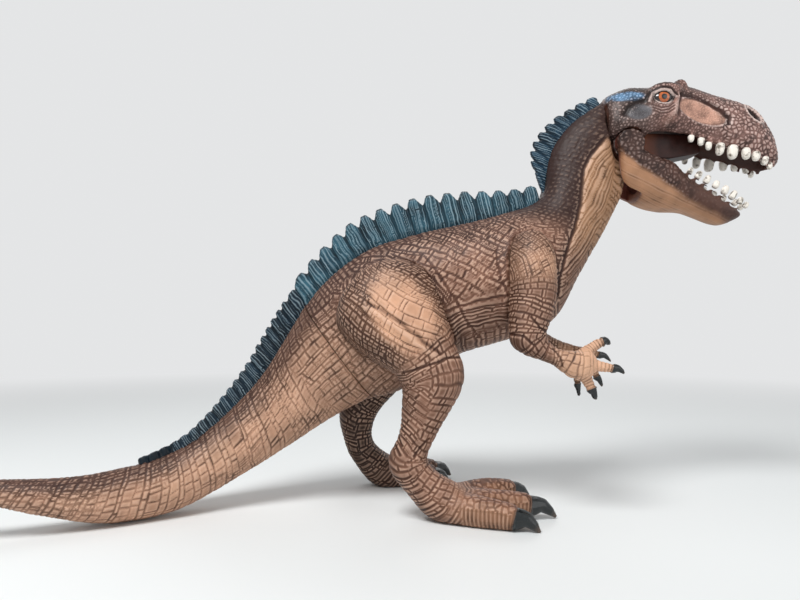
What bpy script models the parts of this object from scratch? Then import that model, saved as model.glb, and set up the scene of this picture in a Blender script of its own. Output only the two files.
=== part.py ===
"""Toy dinosaur figure: a long-tailed meat eater with a plated crest and a hinged lower jaw.

Every piece is a separate solid, the way the figure comes apart on a bench: torso with neck, skull,
lower jaw, hinge pin, tail, two legs, two arms and three crest strips.
Units are metres, +X runs towards the snout, +Z is up, and the soles rest on Z = 0.
"""
import math

import bmesh
import bpy
from mathutils import Matrix, Vector

# Fit and mesh resolution
CLEARANCE = 0.0003
# A corner's wall moves out by no more than this many gaps
SHELL_LIMIT = math.sqrt(3)
OVERRUN = 0.004
BODY_SIDES = 20
LIMB_SIDES = 16
DIGIT_SIDES = 10
CLAW_SIDES = 8
TALON_SIDES = 6
MOUTH_SECTIONS = 10
OUTLINE_STEPS = 2
ROW_STEPS = 4
TONGUE_SECTIONS = 5
ROUND_SIDES = 20

# The hip is the datum. Its place centres the figure's box on the origin
HIP_X = -0.0142
HIP_Y = 0.0041
HIP_HEIGHT = 0.0494

# Torso, from the tail seam to the base of the neck
TORSO_LENGTH = 0.0780
TORSO_HEIGHT = 0.0525
TORSO_HALF_WIDTH = 0.0193
TORSO_ROUNDNESS = 2.25
BACK_TAPER_SHARE = 0.10
# Each row: back line (x, z), belly line (x, z), half width
TORSO_SHARES = (
    (-0.151, 0.295, 0.151, -0.295, 0.75),
    (-0.044, 0.480, 0.258, -0.263, 0.855),
    (0.106, 0.642, 0.364, -0.156, 0.92),
    (0.258, 0.720, 0.472, -0.050, 0.95),
    (0.431, 0.785, 0.592, 0.008, 0.985),
    (0.605, 0.836, 0.708, 0.059, 1.0),
    (0.756, 0.901, 0.858, 0.130, 0.93),
    (0.822, 0.941, 0.935, 0.230, 0.84),
    (0.871, 1.000, 0.999, 0.417, 0.70),
)

# Neck, from the top of the torso into the back of the skull
NECK_LENGTH = 0.0227
NECK_HEIGHT = 0.0475
NECK_HALF_WIDTH = 0.0108
NECK_SHARES = (
    (-0.200, 0.467, 0.672, 0.034, 1.0),
    (-0.106, 0.648, 1.000, 0.314, 0.91),
    (0.185, 0.838, 1.015, 0.539, 0.83),
    (0.687, 1.000, 0.930, 0.699, 0.76),
    (0.880, 1.030, 1.120, 0.758, 0.68),
)

# Tail, from its seam at the hips to the tip, which swings to the figure's right
TAIL_LENGTH = 0.1189
TAIL_SWING = 0.0455
TAIL_HALF_WIDTH = 0.0145
TAIL_ROUNDNESS = 2.15
# Each row: top (back, height), bottom (back, height), swing, half width
TAIL_SHARES = (
    (0.099, 1.314, -0.099, 0.686, 0.0, 1.0),
    (0.155, 1.095, -0.015, 0.597, 0.0, 0.87),
    (0.218, 0.852, 0.077, 0.457, 0.011, 0.74),
    (0.288, 0.656, 0.177, 0.304, 0.077, 0.64),
    (0.383, 0.441, 0.302, 0.132, 0.198, 0.565),
    (0.466, 0.352, 0.401, 0.022, 0.352, 0.53),
    (0.542, 0.312, 0.532, 0.0, 0.536, 0.48),
    (0.637, 0.302, 0.637, 0.079, 0.703, 0.37),
    (0.745, 0.326, 0.743, 0.176, 0.835, 0.25),
    (0.832, 0.352, 0.832, 0.243, 0.912, 0.185),
    (0.916, 0.377, 0.916, 0.308, 0.967, 0.12),
    (1.000, 0.389, 1.000, 0.360, 1.0, 0.045),
)
TAIL_PLUG_RADIUS = 0.0080
TAIL_PLUG_LENGTH = 0.0090

# Skull, measured from the jaw pivot
PIVOT_REACH_SHARE = 0.982
PIVOT_RISE_SHARE = 0.644
HEAD_LENGTH = 0.0521
HEAD_HEIGHT = 0.0240
HEAD_HALF_WIDTH = 0.0114
HEAD_ROUNDNESS = 2.7
CROWN_TAPER_SHARE = 0.24
HEAD_FACETS = 1080
# Each row: along, crown height, lip height, half width
HEAD_SHARES = (
    (-0.117, 0.738, 0.075, 0.74),
    (-0.040, 0.808, 0.033, 0.88),
    (0.036, 0.867, 0.017, 0.965),
    (0.132, 0.850, 0.096, 1.0),
    (0.228, 0.885, 0.096, 0.98),
    (0.344, 0.905, 0.075, 0.91),
    (0.459, 0.865, 0.008, 0.84),
    (0.574, 0.775, -0.071, 0.79),
    (0.689, 0.713, -0.125, 0.74),
    (0.804, 0.633, -0.200, 0.67),
    (0.881, 0.508, -0.270, 0.58),
    (0.948, 0.304, -0.288, 0.456),
    (0.989, 0.096, -0.250, 0.28),
    (1.000, -0.050, -0.175, 0.10),
)
LIP_WALL = 0.0026
PALATE_HEIGHT = 0.0050
# Along-shares between which the mouth is hollowed out of the skull
PALATE_START_SHARE = 0.11
PALATE_END_SHARE = 0.955
# Raised and sunk details: along, height, sideways, then radii as shares of the same sizes
BROW_SHARES = (0.235, 0.740, 0.72, 0.105, 0.105, 0.25)
EYE_SHARES = (0.195, 0.605, 0.86, 0.058, 0.115, 0.19)
HORN_SHARES = (0.345, 0.850, 0.56, 0.045, 0.080, 0.15)
FENESTRA_SHARES = (0.455, 0.440, 1.02, 0.165, 0.190, 0.30)
TEMPLE_SHARES = (0.065, 0.500, 1.12, 0.085, 0.135, 0.28)
NOSTRIL_SHARES = (0.900, 0.300, 0.50, 0.034, 0.070, 0.14)
FENESTRA_TILT = math.radians(14)
NECK_PLUG_RADIUS = 0.0042
NECK_PLUG_LENGTH = 0.0070

# Lower jaw, measured from the same pivot, open as in the photograph
JAW_LENGTH = 0.0391
JAW_DROP = 0.0263
JAW_HALF_WIDTH = 0.0104
JAW_ROUNDNESS = 2.7
JAW_TAPER_SHARE = -0.12
JAW_FACETS = 620
# Each row: along, rim height, underside height, half width
JAW_SHARES = (
    (-0.080, -0.110, -0.330, 0.88),
    (-0.062, -0.020, -0.500, 0.95),
    (-0.014, 0.020, -0.600, 1.0),
    (0.049, 0.020, -0.655, 1.0),
    (0.107, -0.010, -0.695, 1.0),
    (0.187, -0.075, -0.745, 0.98),
    (0.279, -0.129, -0.785, 0.94),
    (0.381, -0.175, -0.805, 0.87),
    (0.483, -0.342, -0.805, 0.74),
    (0.586, -0.449, -0.845, 0.645),
    (0.739, -0.593, -0.945, 0.575),
    (0.841, -0.696, -0.980, 0.53),
    (0.931, -0.779, -0.930, 0.44),
    (1.000, -0.830, -0.875, 0.25),
)
JAW_WALL = 0.0022
JAW_FLOOR = 0.0038
JAW_FLOOR_START_SHARE = 0.11
JAW_FLOOR_END_SHARE = 0.90
TONGUE_HEIGHT = 0.0030
TONGUE_START_SHARE = 0.24
TONGUE_END_SHARE = 0.74
TONGUE_WIDTH_SHARE = 0.62
TONGUE_ARCH_SHARE = 0.6

# Jaw hinge: the skull's block stands between the jaw's two knuckles
KNUCKLE_RADIUS = 0.0045
BLOCK_HALF_WIDTH = 0.0060
PIN_RADIUS = 0.0012
PIN_LENGTH = 0.0180

# Teeth: along-share, height out of the gum, radius. Uneven, as a row of shed and grown teeth is
TOOTH_ROOT = 0.0022
TOOTH_SIDES = 5
UPPER_TOOTH_HEIGHT = 0.0042
UPPER_TOOTH_RADIUS = 0.00130
LOWER_TOOTH_HEIGHT = 0.0030
LOWER_TOOTH_RADIUS = 0.00105
UPPER_TOOTH_SHARES = (
    (0.390, 0.50), (0.450, 0.62), (0.505, 0.72), (0.580, 0.95), (0.665, 1.0),
    (0.750, 0.86), (0.825, 0.80), (0.890, 0.72), (0.938, 0.62),
)
LOWER_TOOTH_SHARES = (
    (0.500, 0.80), (0.565, 0.88), (0.635, 1.0), (0.710, 0.85), (0.785, 1.0), (0.860, 0.95), (0.935, 0.80),
)
TOOTH_TAPER_SHARE = 0.55

# Legs. Heights are shares of the hip height, so the soles stay on the ground
LEG_LENGTH = 0.0500
STANCE = 0.0200
THIGH_HALF_WIDTH = 0.0100
LEG_ROUNDNESS = 2.3
# How far the soles are set into the ground before it trims them flat
SOLE_SINK = 0.0009
LEG_FACETS = 620
# Each row: front (x, z), rear (x, z), sideways, half width
RIGHT_LEG_SHARES = (
    (0.382, 1.600, 0.162, 1.520, 0.75, 0.45),
    (0.542, 1.530, 0.032, 1.366, 0.825, 0.85),
    (0.642, 1.316, 0.012, 1.184, 0.90, 1.0),
    (0.722, 1.113, 0.152, 1.022, 0.95, 1.0),
    (0.798, 0.927, 0.342, 0.903, 0.975, 0.90),
    (0.794, 0.830, 0.408, 0.822, 1.0, 0.82),
    (0.758, 0.745, 0.406, 0.709, 1.0, 0.75),
    (0.678, 0.615, 0.402, 0.587, 1.0, 0.64),
    (0.606, 0.486, 0.378, 0.478, 1.0, 0.54),
    (0.566, 0.389, 0.322, 0.397, 1.0, 0.52),
    (0.582, 0.336, 0.342, 0.281, 1.0, 0.53),
    (0.640, 0.291, 0.438, 0.174, 1.0, 0.58),
    (0.712, 0.251, 0.522, 0.065, 1.0, 0.68),
    (0.792, 0.202, 0.622, 0.004, 1.0, 0.76),
    (0.862, 0.152, 0.742, 0.006, 1.0, 0.55),
)
LEFT_LEG_SHARES = (
    (0.382, 1.600, 0.162, 1.520, 0.75, 0.45),
    (0.532, 1.508, 0.032, 1.366, 0.825, 0.85),
    (0.592, 1.296, -0.008, 1.164, 0.90, 1.0),
    (0.592, 1.093, 0.032, 0.982, 0.925, 0.96),
    (0.542, 0.911, 0.032, 0.820, 0.95, 0.86),
    (0.472, 0.800, 0.002, 0.709, 0.965, 0.78),
    (0.382, 0.704, -0.030, 0.623, 0.975, 0.72),
    (0.282, 0.603, -0.052, 0.538, 0.99, 0.64),
    (0.222, 0.506, -0.038, 0.445, 1.0, 0.58),
    (0.198, 0.415, -0.010, 0.350, 1.0, 0.54),
    (0.210, 0.336, 0.024, 0.255, 1.0, 0.54),
    (0.262, 0.281, 0.078, 0.170, 1.02, 0.58),
    (0.332, 0.233, 0.150, 0.073, 1.05, 0.66),
    (0.412, 0.192, 0.246, 0.004, 1.08, 0.72),
    (0.482, 0.142, 0.362, 0.006, 1.12, 0.55),
)
# Toes: root, middle, end of the flesh and claw tip, each as (x, sideways, z)
TOE_RADIUS = 0.0047
TOE_TAPER_SHARES = (1.0, 0.96, 0.80)
CLAW_TAPER_SHARES = (0.66, 0.58, 0.40, 0.10)
CLAW_ROOT_SHARE = 0.25
CLAW_HOOK_SHARE = 0.20
RIGHT_TOE_SHARES = (
    ((0.66, 1.12, 0.100), (0.86, 1.33, 0.099), (1.05, 1.50, 0.085), (1.176, 1.62, 0.020)),
    ((0.70, 1.00, 0.108), (0.94, 0.98, 0.105), (1.17, 0.975, 0.095), (1.330, 0.975, 0.030)),
    ((0.70, 0.875, 0.120), (0.90, 0.625, 0.136), (1.10, 0.475, 0.134), (1.226, 0.40, 0.060)),
)
LEFT_TOE_SHARES = (
    ((0.32, 0.975, 0.100), (0.51, 0.975, 0.105), (0.65, 0.975, 0.095), (0.76, 0.975, 0.030)),
    ((0.34, 1.10, 0.100), (0.52, 1.30, 0.105), (0.66, 1.475, 0.095), (0.79, 1.625, 0.035)),
    ((0.31, 1.15, 0.100), (0.42, 1.50, 0.100), (0.49, 1.70, 0.090), (0.55, 1.875, 0.030)),
)
HIP_FACE = 0.0120
HIP_PEG_RADIUS = 0.0055
HIP_PEG_LENGTH = 0.0060
HIP_PEG_SHARES = (0.34, 1.30)
HIP_TRIM_SHARE = 0.84

# Arms, measured from the shoulder, which is placed on the torso by shares of its sizes
SHOULDER_SHARES = (0.783, 0.545)
ARM_LENGTH = 0.0440
ARM_SPREAD = 0.0236
ARM_HALF_WIDTH = 0.0065
ARM_ROUNDNESS = 2.2
ARM_FACETS = 430
RIGHT_ARM_SHARES = (
    (0.068, 0.182, -0.114, 0.182, 0.72, 0.54),
    (0.148, 0.045, -0.159, 0.045, 0.784, 0.92),
    (0.148, -0.125, -0.170, -0.114, 0.87, 1.0),
    (0.141, -0.295, -0.164, -0.239, 0.91, 0.92),
    (0.109, -0.409, -0.193, -0.386, 0.93, 0.86),
    (0.068, -0.500, -0.209, -0.523, 0.945, 0.80),
    (0.059, -0.559, -0.170, -0.632, 0.95, 0.75),
    (0.116, -0.623, -0.045, -0.691, 0.965, 0.66),
    (0.193, -0.639, 0.080, -0.732, 0.98, 0.585),
    (0.273, -0.641, 0.193, -0.818, 1.0, 0.70),
    (0.341, -0.636, 0.295, -0.841, 1.0, 0.65),
    (0.375, -0.682, 0.359, -0.795, 1.0, 0.40),
)
LEFT_ARM_SHARES = (
    (0.068, 0.182, -0.114, 0.182, 0.72, 0.54),
    (0.148, 0.045, -0.159, 0.045, 0.784, 0.92),
    (0.170, -0.125, -0.136, -0.159, 0.87, 1.0),
    (0.205, -0.273, -0.080, -0.330, 0.91, 0.92),
    (0.239, -0.386, -0.011, -0.489, 0.93, 0.86),
    (0.280, -0.489, 0.091, -0.625, 0.945, 0.77),
    (0.352, -0.545, 0.250, -0.716, 0.95, 0.68),
    (0.455, -0.591, 0.386, -0.761, 0.955, 0.60),
    (0.557, -0.625, 0.500, -0.818, 0.96, 0.68),
    (0.636, -0.636, 0.602, -0.841, 0.96, 0.66),
    (0.682, -0.682, 0.659, -0.807, 0.96, 0.40),
)
FINGER_RADIUS = 0.0019
FINGER_TAPER_SHARES = (1.0, 0.95, 0.80)
TALON_TAPER_SHARES = (0.70, 0.62, 0.42, 0.12)
RIGHT_FINGER_SHARES = (
    ((0.270, 0.98, -0.680), (0.360, 0.92, -0.625), (0.445, 0.89, -0.577), (0.505, 0.87, -0.600)),
    ((0.290, 1.00, -0.735), (0.385, 1.04, -0.742), (0.475, 1.06, -0.757), (0.555, 1.08, -0.790)),
    ((0.270, 1.00, -0.770), (0.320, 1.01, -0.845), (0.345, 1.02, -0.900), (0.372, 1.02, -0.965)),
)
LEFT_FINGER_SHARES = (
    ((0.600, 1.00, -0.690), (0.680, 1.01, -0.680), (0.757, 1.02, -0.705), (0.859, 1.02, -0.760)),
    ((0.600, 0.95, -0.745), (0.680, 0.92, -0.815), (0.716, 0.91, -0.886), (0.761, 0.91, -0.970)),
    ((0.550, 0.93, -0.760), (0.556, 0.90, -0.860), (0.548, 0.89, -0.943), (0.563, 0.89, -1.045)),
)
SHOULDER_FACE = 0.0140
SHOULDER_PEG_RADIUS = 0.0035
SHOULDER_PEG_LENGTH = 0.0055

# Crest strips: a plain rail sits in a slot along the back, and plates with round knobs stand on it
CREST_RAIL_HALF_WIDTH = 0.0012
CREST_RAIL_DEPTH = 0.0016
CREST_HALF_WIDTH = 0.0021
BACK_CREST_HEIGHT = 0.0112
NECK_CREST_HEIGHT = 0.0052
TAIL_CREST_HEIGHT = 0.0084
KNOB_HEIGHT = 0.0016
BACK_PLATES = 16
NECK_PLATES = 10
TAIL_PLATES = 22
# The height along each strip, from its rear end, or from the tail's root
BACK_CREST_SHARES = (0.66, 0.74, 0.88, 0.97, 1.0, 0.90, 0.66, 0.42)
NECK_CREST_SHARES = (0.55, 0.95, 1.0, 0.95, 0.84, 0.70, 0.56, 0.46)
TAIL_CREST_SHARES = (0.88, 0.90, 0.85, 0.70, 0.52, 0.36, 0.22, 0.12)
TAIL_CREST_END_SHARE = 0.52
CREST_END_GAP = 0.0012
# The least half width of a plate, where the strip is lowest
CREST_THIN_SHARE = 0.55
# One plate: place along it, thickness, height, how far its knob stands out
PLATE_SHARES = (
    (0.00, 0.50, 0.74, 0.0),
    (0.16, 0.92, 0.86, 0.25),
    (0.34, 1.00, 0.92, 0.9),
    (0.66, 1.00, 0.92, 0.9),
    (0.84, 0.92, 0.86, 0.25),
)
SMALL_PLATE_SHARES = (
    (0.00, 0.50, 0.74, 0.0),
    (0.30, 1.00, 0.92, 0.7),
    (0.70, 1.00, 0.92, 0.7),
)
# Half the outline of a plate, from its foot up: across, level, then how far the knob swells it and lifts it
PLATE_PROFILE_SHARES = (
    (1.00, 0.12, 0.00, 0.00),
    (0.86, 0.90, 0.00, 0.00),
    (0.62, 1.00, 0.20, 0.55),
)
PLATE_RIDGE_SHARE = 1.04

# Voxel and smoothing settings of the blended forms
LIMB_VOXEL = 0.0009
HEAD_VOXEL = 0.0007
HAND_VOXEL = 0.0006
SMOOTH_FACTOR = 0.5
SMOOTH_PASSES = 3

# Colours, from the photograph
SKIN_COLOUR = (0.45, 0.28, 0.20, 1)
SKULL_COLOUR = (0.22, 0.14, 0.12, 1)
JAW_COLOUR = (0.40, 0.24, 0.16, 1)
CREST_COLOUR = (0.02, 0.09, 0.17, 1)
STEEL_COLOUR = (0.55, 0.55, 0.56, 1)
SKIN_ROUGHNESS = 0.55
STEEL_ROUGHNESS = 0.3
SHARP_ANGLE = math.radians(40)

PARTS = "toy_dinosaur"
FORMS = "forms"


def clear_scene():
    for item in list(bpy.data.objects):
        bpy.data.objects.remove(item, do_unlink=True)


def collection_named(name):
    collection = bpy.data.collections.get(name)
    if collection is None:
        collection = bpy.data.collections.new(name)
        bpy.context.scene.collection.children.link(collection)
    return collection


def new_piece(name, bm):
    """Close the bmesh into a linked object."""
    bmesh.ops.recalc_face_normals(bm, faces=bm.faces)
    mesh = bpy.data.meshes.new(name)
    bm.to_mesh(mesh)
    bm.free()
    piece = bpy.data.objects.new(name, mesh)
    collection_named(FORMS).objects.link(piece)
    return piece


def settle(piece):
    """Replace a piece's mesh with what its modifiers give."""
    graph = bpy.context.evaluated_depsgraph_get()
    finished = bpy.data.meshes.new_from_object(piece.evaluated_get(graph))
    piece.modifiers.clear()
    old = piece.data
    piece.data = finished
    bpy.data.meshes.remove(old)


def combine(piece, other, operation, keep=False):
    """Boolean one piece with another."""
    step = piece.modifiers.new(operation.lower(), "BOOLEAN")
    step.operation = operation
    step.solver = "EXACT"
    step.object = other
    settle(piece)
    if not keep:
        bpy.data.objects.remove(other, do_unlink=True)


def blend(piece, voxel, facets):
    """Melt overlapping forms into one skin, soften it and thin it to a number of facets."""
    skin = piece.modifiers.new("skin", "REMESH")
    skin.mode = "VOXEL"
    skin.voxel_size = voxel
    soft = piece.modifiers.new("soft", "SMOOTH")
    soft.factor = SMOOTH_FACTOR
    soft.iterations = SMOOTH_PASSES
    settle(piece)
    thin = piece.modifiers.new("thin", "DECIMATE")
    triangles = sum(len(face.vertices) - 2 for face in piece.data.polygons)
    thin.ratio = min(1, facets / triangles)
    thin.use_collapse_triangulate = True
    settle(piece)


def join(pieces, name):
    """Put several closed forms in one object, still separate bodies."""
    bm = bmesh.new()
    for piece in pieces:
        bm.from_mesh(piece.data)
        bpy.data.objects.remove(piece, do_unlink=True)
    return new_piece(name, bm)


def grown(piece, gap=CLEARANCE):
    """A copy of a piece whose walls stand out by the gap, to cut its neighbours with."""
    bm = bmesh.new()
    bm.from_mesh(piece.data)
    bm.normal_update()
    moves = [vert.normal * gap * min(vert.calc_shell_factor(), SHELL_LIMIT) for vert in bm.verts]
    for vert, move in zip(bm.verts, moves):
        vert.co += move
    return new_piece(piece.name + "_cutter", bm)


def between(a, b, c, d, t):
    """A value at t between b and c on a Catmull-Rom curve through four values."""
    slope = (c - a) / 2
    next_slope = (d - b) / 2
    rise = c - b
    bend = 3 * rise - 2 * slope - next_slope
    return b + slope * t + bend * t ** 2 + (slope + next_slope - 2 * rise) * t ** 3


def smoothed(rows, steps):
    """Catmull-Rom rows between the given rows, ends kept."""
    result = []
    for i in range(len(rows) - 1):
        before = rows[max(i - 1, 0)]
        start, end = rows[i], rows[i + 1]
        after = rows[min(i + 2, len(rows) - 1)]
        for step in range(steps):
            t = step / steps
            result.append(tuple(between(*values, t) for values in zip(before, start, end, after)))
    result.append(rows[-1])
    return result


def power(value, roundness):
    return math.copysign(abs(value) ** (2 / roundness), value)


def skin(name, bm, rings):
    """Close a row of rings into one solid."""
    for first, second in zip(rings, rings[1:]):
        for k in range(len(first)):
            n = (k + 1) % len(first)
            bm.faces.new((first[k], first[n], second[n], second[k]))
    bm.faces.new(rings[0])
    bm.faces.new(reversed(rings[-1]))
    return new_piece(name, bm)


def loft(name, sections, sides, roundness=2.0, taper=0.0):
    """Skin closed rings. A section is (top point, bottom point, half width)."""
    bm = bmesh.new()
    centres = [(top + bottom) / 2 for top, bottom, _ in sections]
    rings = []
    for i, (top, bottom, half_width) in enumerate(sections):
        along = centres[min(i + 1, len(centres) - 1)] - centres[max(i - 1, 0)]
        up = (top - bottom) / 2
        side = up.cross(along).normalized() * half_width
        ring = bmesh.ops.create_circle(bm, segments=sides, radius=1)["verts"]
        for vert in ring:
            rise = power(vert.co.y, roundness)
            across = power(vert.co.x, roundness) * (1 - taper * rise)
            vert.co = centres[i] + up * rise + side * across
        rings.append(ring)
    return skin(name, bm, rings)


def box(name, low, high):
    bm = bmesh.new()
    bmesh.ops.create_cube(bm, size=1)
    size = high - low
    bmesh.ops.scale(bm, vec=size, verts=bm.verts)
    bmesh.ops.translate(bm, vec=(low + high) / 2, verts=bm.verts)
    return new_piece(name, bm)


def cylinder(name, centre, axis, radius, length):
    bm = bmesh.new()
    turn = Vector((0, 0, 1)).rotation_difference(axis).to_matrix().to_4x4()
    bmesh.ops.create_cone(
        bm, cap_ends=True, segments=ROUND_SIDES, radius1=radius, radius2=radius, depth=length,
        matrix=Matrix.Translation(centre) @ turn,
    )
    return new_piece(name, bm)


def ellipsoid(name, centre, radii, tilt=0.0):
    bm = bmesh.new()
    bmesh.ops.create_uvsphere(bm, u_segments=LIMB_SIDES, v_segments=DIGIT_SIDES, radius=1)
    bmesh.ops.scale(bm, vec=radii, verts=bm.verts)
    bmesh.ops.rotate(bm, matrix=Matrix.Rotation(tilt, 3, "Y"), verts=bm.verts)
    bmesh.ops.translate(bm, vec=centre, verts=bm.verts)
    return new_piece(name, bm)


def digit(name, points, radius, taper_shares, sides):
    """A toe, finger or claw: a tapering tube through the points."""
    rows = [(*point, share * radius) for point, share in zip(points, taper_shares)]
    stations = smoothed(rows, OUTLINE_STEPS)
    middles = [Vector(station[:3]) for station in stations]
    sections = []
    for i, station in enumerate(stations):
        along = middles[min(i + 1, len(middles) - 1)] - middles[max(i - 1, 0)]
        across = along.cross(Vector((0, 0, 1)))
        if across.length < CLEARANCE * CLEARANCE:
            across = Vector((0, 1, 0))
        up = across.cross(along).normalized() * station[3]
        sections.append((middles[i] + up, middles[i] - up, station[3]))
    return loft(name, sections, sides)


# Anchors worked out from the driving sizes
HIP = Vector((HIP_X, HIP_Y, HIP_HEIGHT))


def torso_sections():
    """Back and belly points from the tail seam to the inside of the skull."""
    rows = []
    for back_x, back_z, belly_x, belly_z, width in TORSO_SHARES:
        rows.append((
            back_x * TORSO_LENGTH, back_z * TORSO_HEIGHT, belly_x * TORSO_LENGTH, belly_z * TORSO_HEIGHT,
            width * TORSO_HALF_WIDTH,
        ))
    last = rows[-1]
    base_x = (last[0] + last[2]) / 2
    base_z = (last[1] + last[3]) / 2
    for back_x, back_z, belly_x, belly_z, width in NECK_SHARES:
        rows.append((
            base_x + back_x * NECK_LENGTH, base_z + back_z * NECK_HEIGHT,
            base_x + belly_x * NECK_LENGTH, base_z + belly_z * NECK_HEIGHT,
            width * NECK_HALF_WIDTH,
        ))
    sections = []
    for back_x, back_z, belly_x, belly_z, width in smoothed(rows, OUTLINE_STEPS):
        top = HIP + Vector((back_x, 0, back_z))
        bottom = HIP + Vector((belly_x, 0, belly_z))
        sections.append((top, bottom, width))
    return sections


def tail_sections():
    """Top and bottom points from the hips to the tip."""
    rows = []
    for top_x, top_z, bottom_x, bottom_z, swing, width in TAIL_SHARES:
        rows.append((
            top_x * TAIL_LENGTH, top_z * HIP_HEIGHT, bottom_x * TAIL_LENGTH, bottom_z * HIP_HEIGHT,
            swing * TAIL_SWING, width * TAIL_HALF_WIDTH,
        ))
    sections = []
    for top_x, top_z, bottom_x, bottom_z, swing, width in smoothed(rows, OUTLINE_STEPS):
        top = Vector((HIP_X - top_x, HIP_Y - swing, top_z))
        bottom = Vector((HIP_X - bottom_x, HIP_Y - swing, bottom_z))
        sections.append((top, bottom, width))
    return sections


def neck_base():
    back_x, back_z, belly_x, belly_z, _ = TORSO_SHARES[-1]
    return HIP + Vector(((back_x + belly_x) / 2 * TORSO_LENGTH, 0, (back_z + belly_z) / 2 * TORSO_HEIGHT))


PIVOT = neck_base() + Vector((PIVOT_REACH_SHARE * NECK_LENGTH, 0, PIVOT_RISE_SHARE * NECK_HEIGHT))


def head_point(along, height, sideways=0.0):
    return PIVOT + Vector((along * HEAD_LENGTH, sideways * HEAD_HALF_WIDTH, height * HEAD_HEIGHT))


def row_at(shares, along):
    """The rest of a table's row at a share of the length."""
    rows = smoothed(shares, ROW_STEPS)
    for first, second in zip(rows, rows[1:]):
        if first[0] <= along <= second[0]:
            t = (along - first[0]) / (second[0] - first[0])
            return [a + (b - a) * t for a, b in zip(first[1:], second[1:])]
    return list(rows[-1][1:])


def jaw_point(along, height, sideways=0.0):
    return PIVOT + Vector((along * JAW_LENGTH, sideways, height * JAW_DROP))


def both_sides(make):
    """Call a maker for the figure's right side (-1) and left side (+1)."""
    return [make(side) for side in (-1, 1)]


def teeth(name, places, down):
    """Cones with their roots in the gum. A place is (point, height, radius)."""
    bm = bmesh.new()
    for point, height, radius in places:
        length = height + TOOTH_ROOT
        centre = point + down * (height - TOOTH_ROOT) / 2
        turn = Vector((0, 0, 1)).rotation_difference(down).to_matrix().to_4x4()
        bmesh.ops.create_cone(
            bm, cap_ends=True, segments=TOOTH_SIDES, radius1=radius, radius2=radius * TOOTH_TAPER_SHARE,
            depth=length, matrix=Matrix.Translation(centre) @ turn,
        )
    return new_piece(name, bm)


def upper_tooth_places():
    places = []
    for along, size in UPPER_TOOTH_SHARES:
        _, lip, width = row_at(HEAD_SHARES, along)
        for side in (-1, 1):
            point = head_point(along, lip)
            point.y += side * (width * HEAD_HALF_WIDTH - LIP_WALL / 2)
            places.append((point, size * UPPER_TOOTH_HEIGHT, math.sqrt(size) * UPPER_TOOTH_RADIUS))
    return places


def lower_tooth_places():
    places = []
    for along, size in LOWER_TOOTH_SHARES:
        rim, _, width = row_at(JAW_SHARES, along)
        for side in (-1, 1):
            point = jaw_point(along, rim, side * (width * JAW_HALF_WIDTH - JAW_WALL / 2))
            places.append((point, size * LOWER_TOOTH_HEIGHT, size * LOWER_TOOTH_RADIUS))
    return places


def make_skull():
    sections = []
    for along, crown, lip, width in smoothed(HEAD_SHARES, OUTLINE_STEPS):
        sections.append((head_point(along, crown), head_point(along, lip), width * HEAD_HALF_WIDTH))
    head = loft("head_form", sections, BODY_SIDES, HEAD_ROUNDNESS, CROWN_TAPER_SHARE)
    forms = [head]
    for shares in (BROW_SHARES, EYE_SHARES, HORN_SHARES):
        forms += both_sides(lambda side, s=shares: head_bump(s, side))
    skull = join(forms, "skull")
    melt = skull.modifiers.new("melt", "REMESH")
    melt.mode = "VOXEL"
    melt.voxel_size = HEAD_VOXEL
    settle(skull)
    for shares, tilt in ((FENESTRA_SHARES, FENESTRA_TILT), (TEMPLE_SHARES, 0.0), (NOSTRIL_SHARES, 0.0)):
        for side in (-1, 1):
            combine(skull, head_bump(shares, side, tilt), "DIFFERENCE")
    blend(skull, HEAD_VOXEL, HEAD_FACETS)
    cutter = grown(skull)
    for target, gap in ((skull, 0), (cutter, CLEARANCE)):
        combine(target, hinge_block(gap), "UNION")
        combine(target, neck_plug(gap), "UNION")
    combine(skull, palate_form(), "DIFFERENCE")
    reach = KNUCKLE_RADIUS + CLEARANCE
    for side in (-1, 1):
        outer = HEAD_HALF_WIDTH + OVERRUN
        middle = PIVOT + Vector((0, side * (BLOCK_HALF_WIDTH + outer) / 2, 0))
        notch = cylinder("notch", middle, Vector((0, 1, 0)), reach, outer - BLOCK_HALF_WIDTH)
        combine(skull, notch, "DIFFERENCE")
    bore = cylinder("bore", PIVOT, Vector((0, 1, 0)), PIN_RADIUS + CLEARANCE, PIN_LENGTH)
    combine(skull, bore, "DIFFERENCE")
    combine(skull, teeth("upper_teeth", upper_tooth_places(), Vector((0, 0, -1))), "UNION")
    return skull, cutter


def hinge_block(gap):
    """The block that stands between the jaw's knuckles."""
    return cylinder("block", PIVOT, Vector((0, 1, 0)), KNUCKLE_RADIUS + gap, 2 * (BLOCK_HALF_WIDTH + gap))


def neck_plug(gap):
    """The round plug that seats the skull in the neck."""
    back = head_point(HEAD_SHARES[0][0], (HEAD_SHARES[0][1] + HEAD_SHARES[0][2]) / 2)
    along = Vector((NECK_PLUG_LENGTH / 2, 0, NECK_PLUG_LENGTH))
    start = back + Vector((NECK_PLUG_RADIUS, 0, 0))
    end = back - along - along.normalized() * gap
    reach = start - end
    return cylinder("plug", (start + end) / 2, reach.normalized(), NECK_PLUG_RADIUS + gap, reach.length)


def head_bump(shares, side, tilt=0.0):
    along, height, sideways, long_radius, high_radius, wide_radius = shares
    radii = Vector((long_radius * HEAD_LENGTH, wide_radius * HEAD_HALF_WIDTH, high_radius * HEAD_HEIGHT))
    return ellipsoid("bump", head_point(along, height, side * sideways), radii, tilt)


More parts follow.
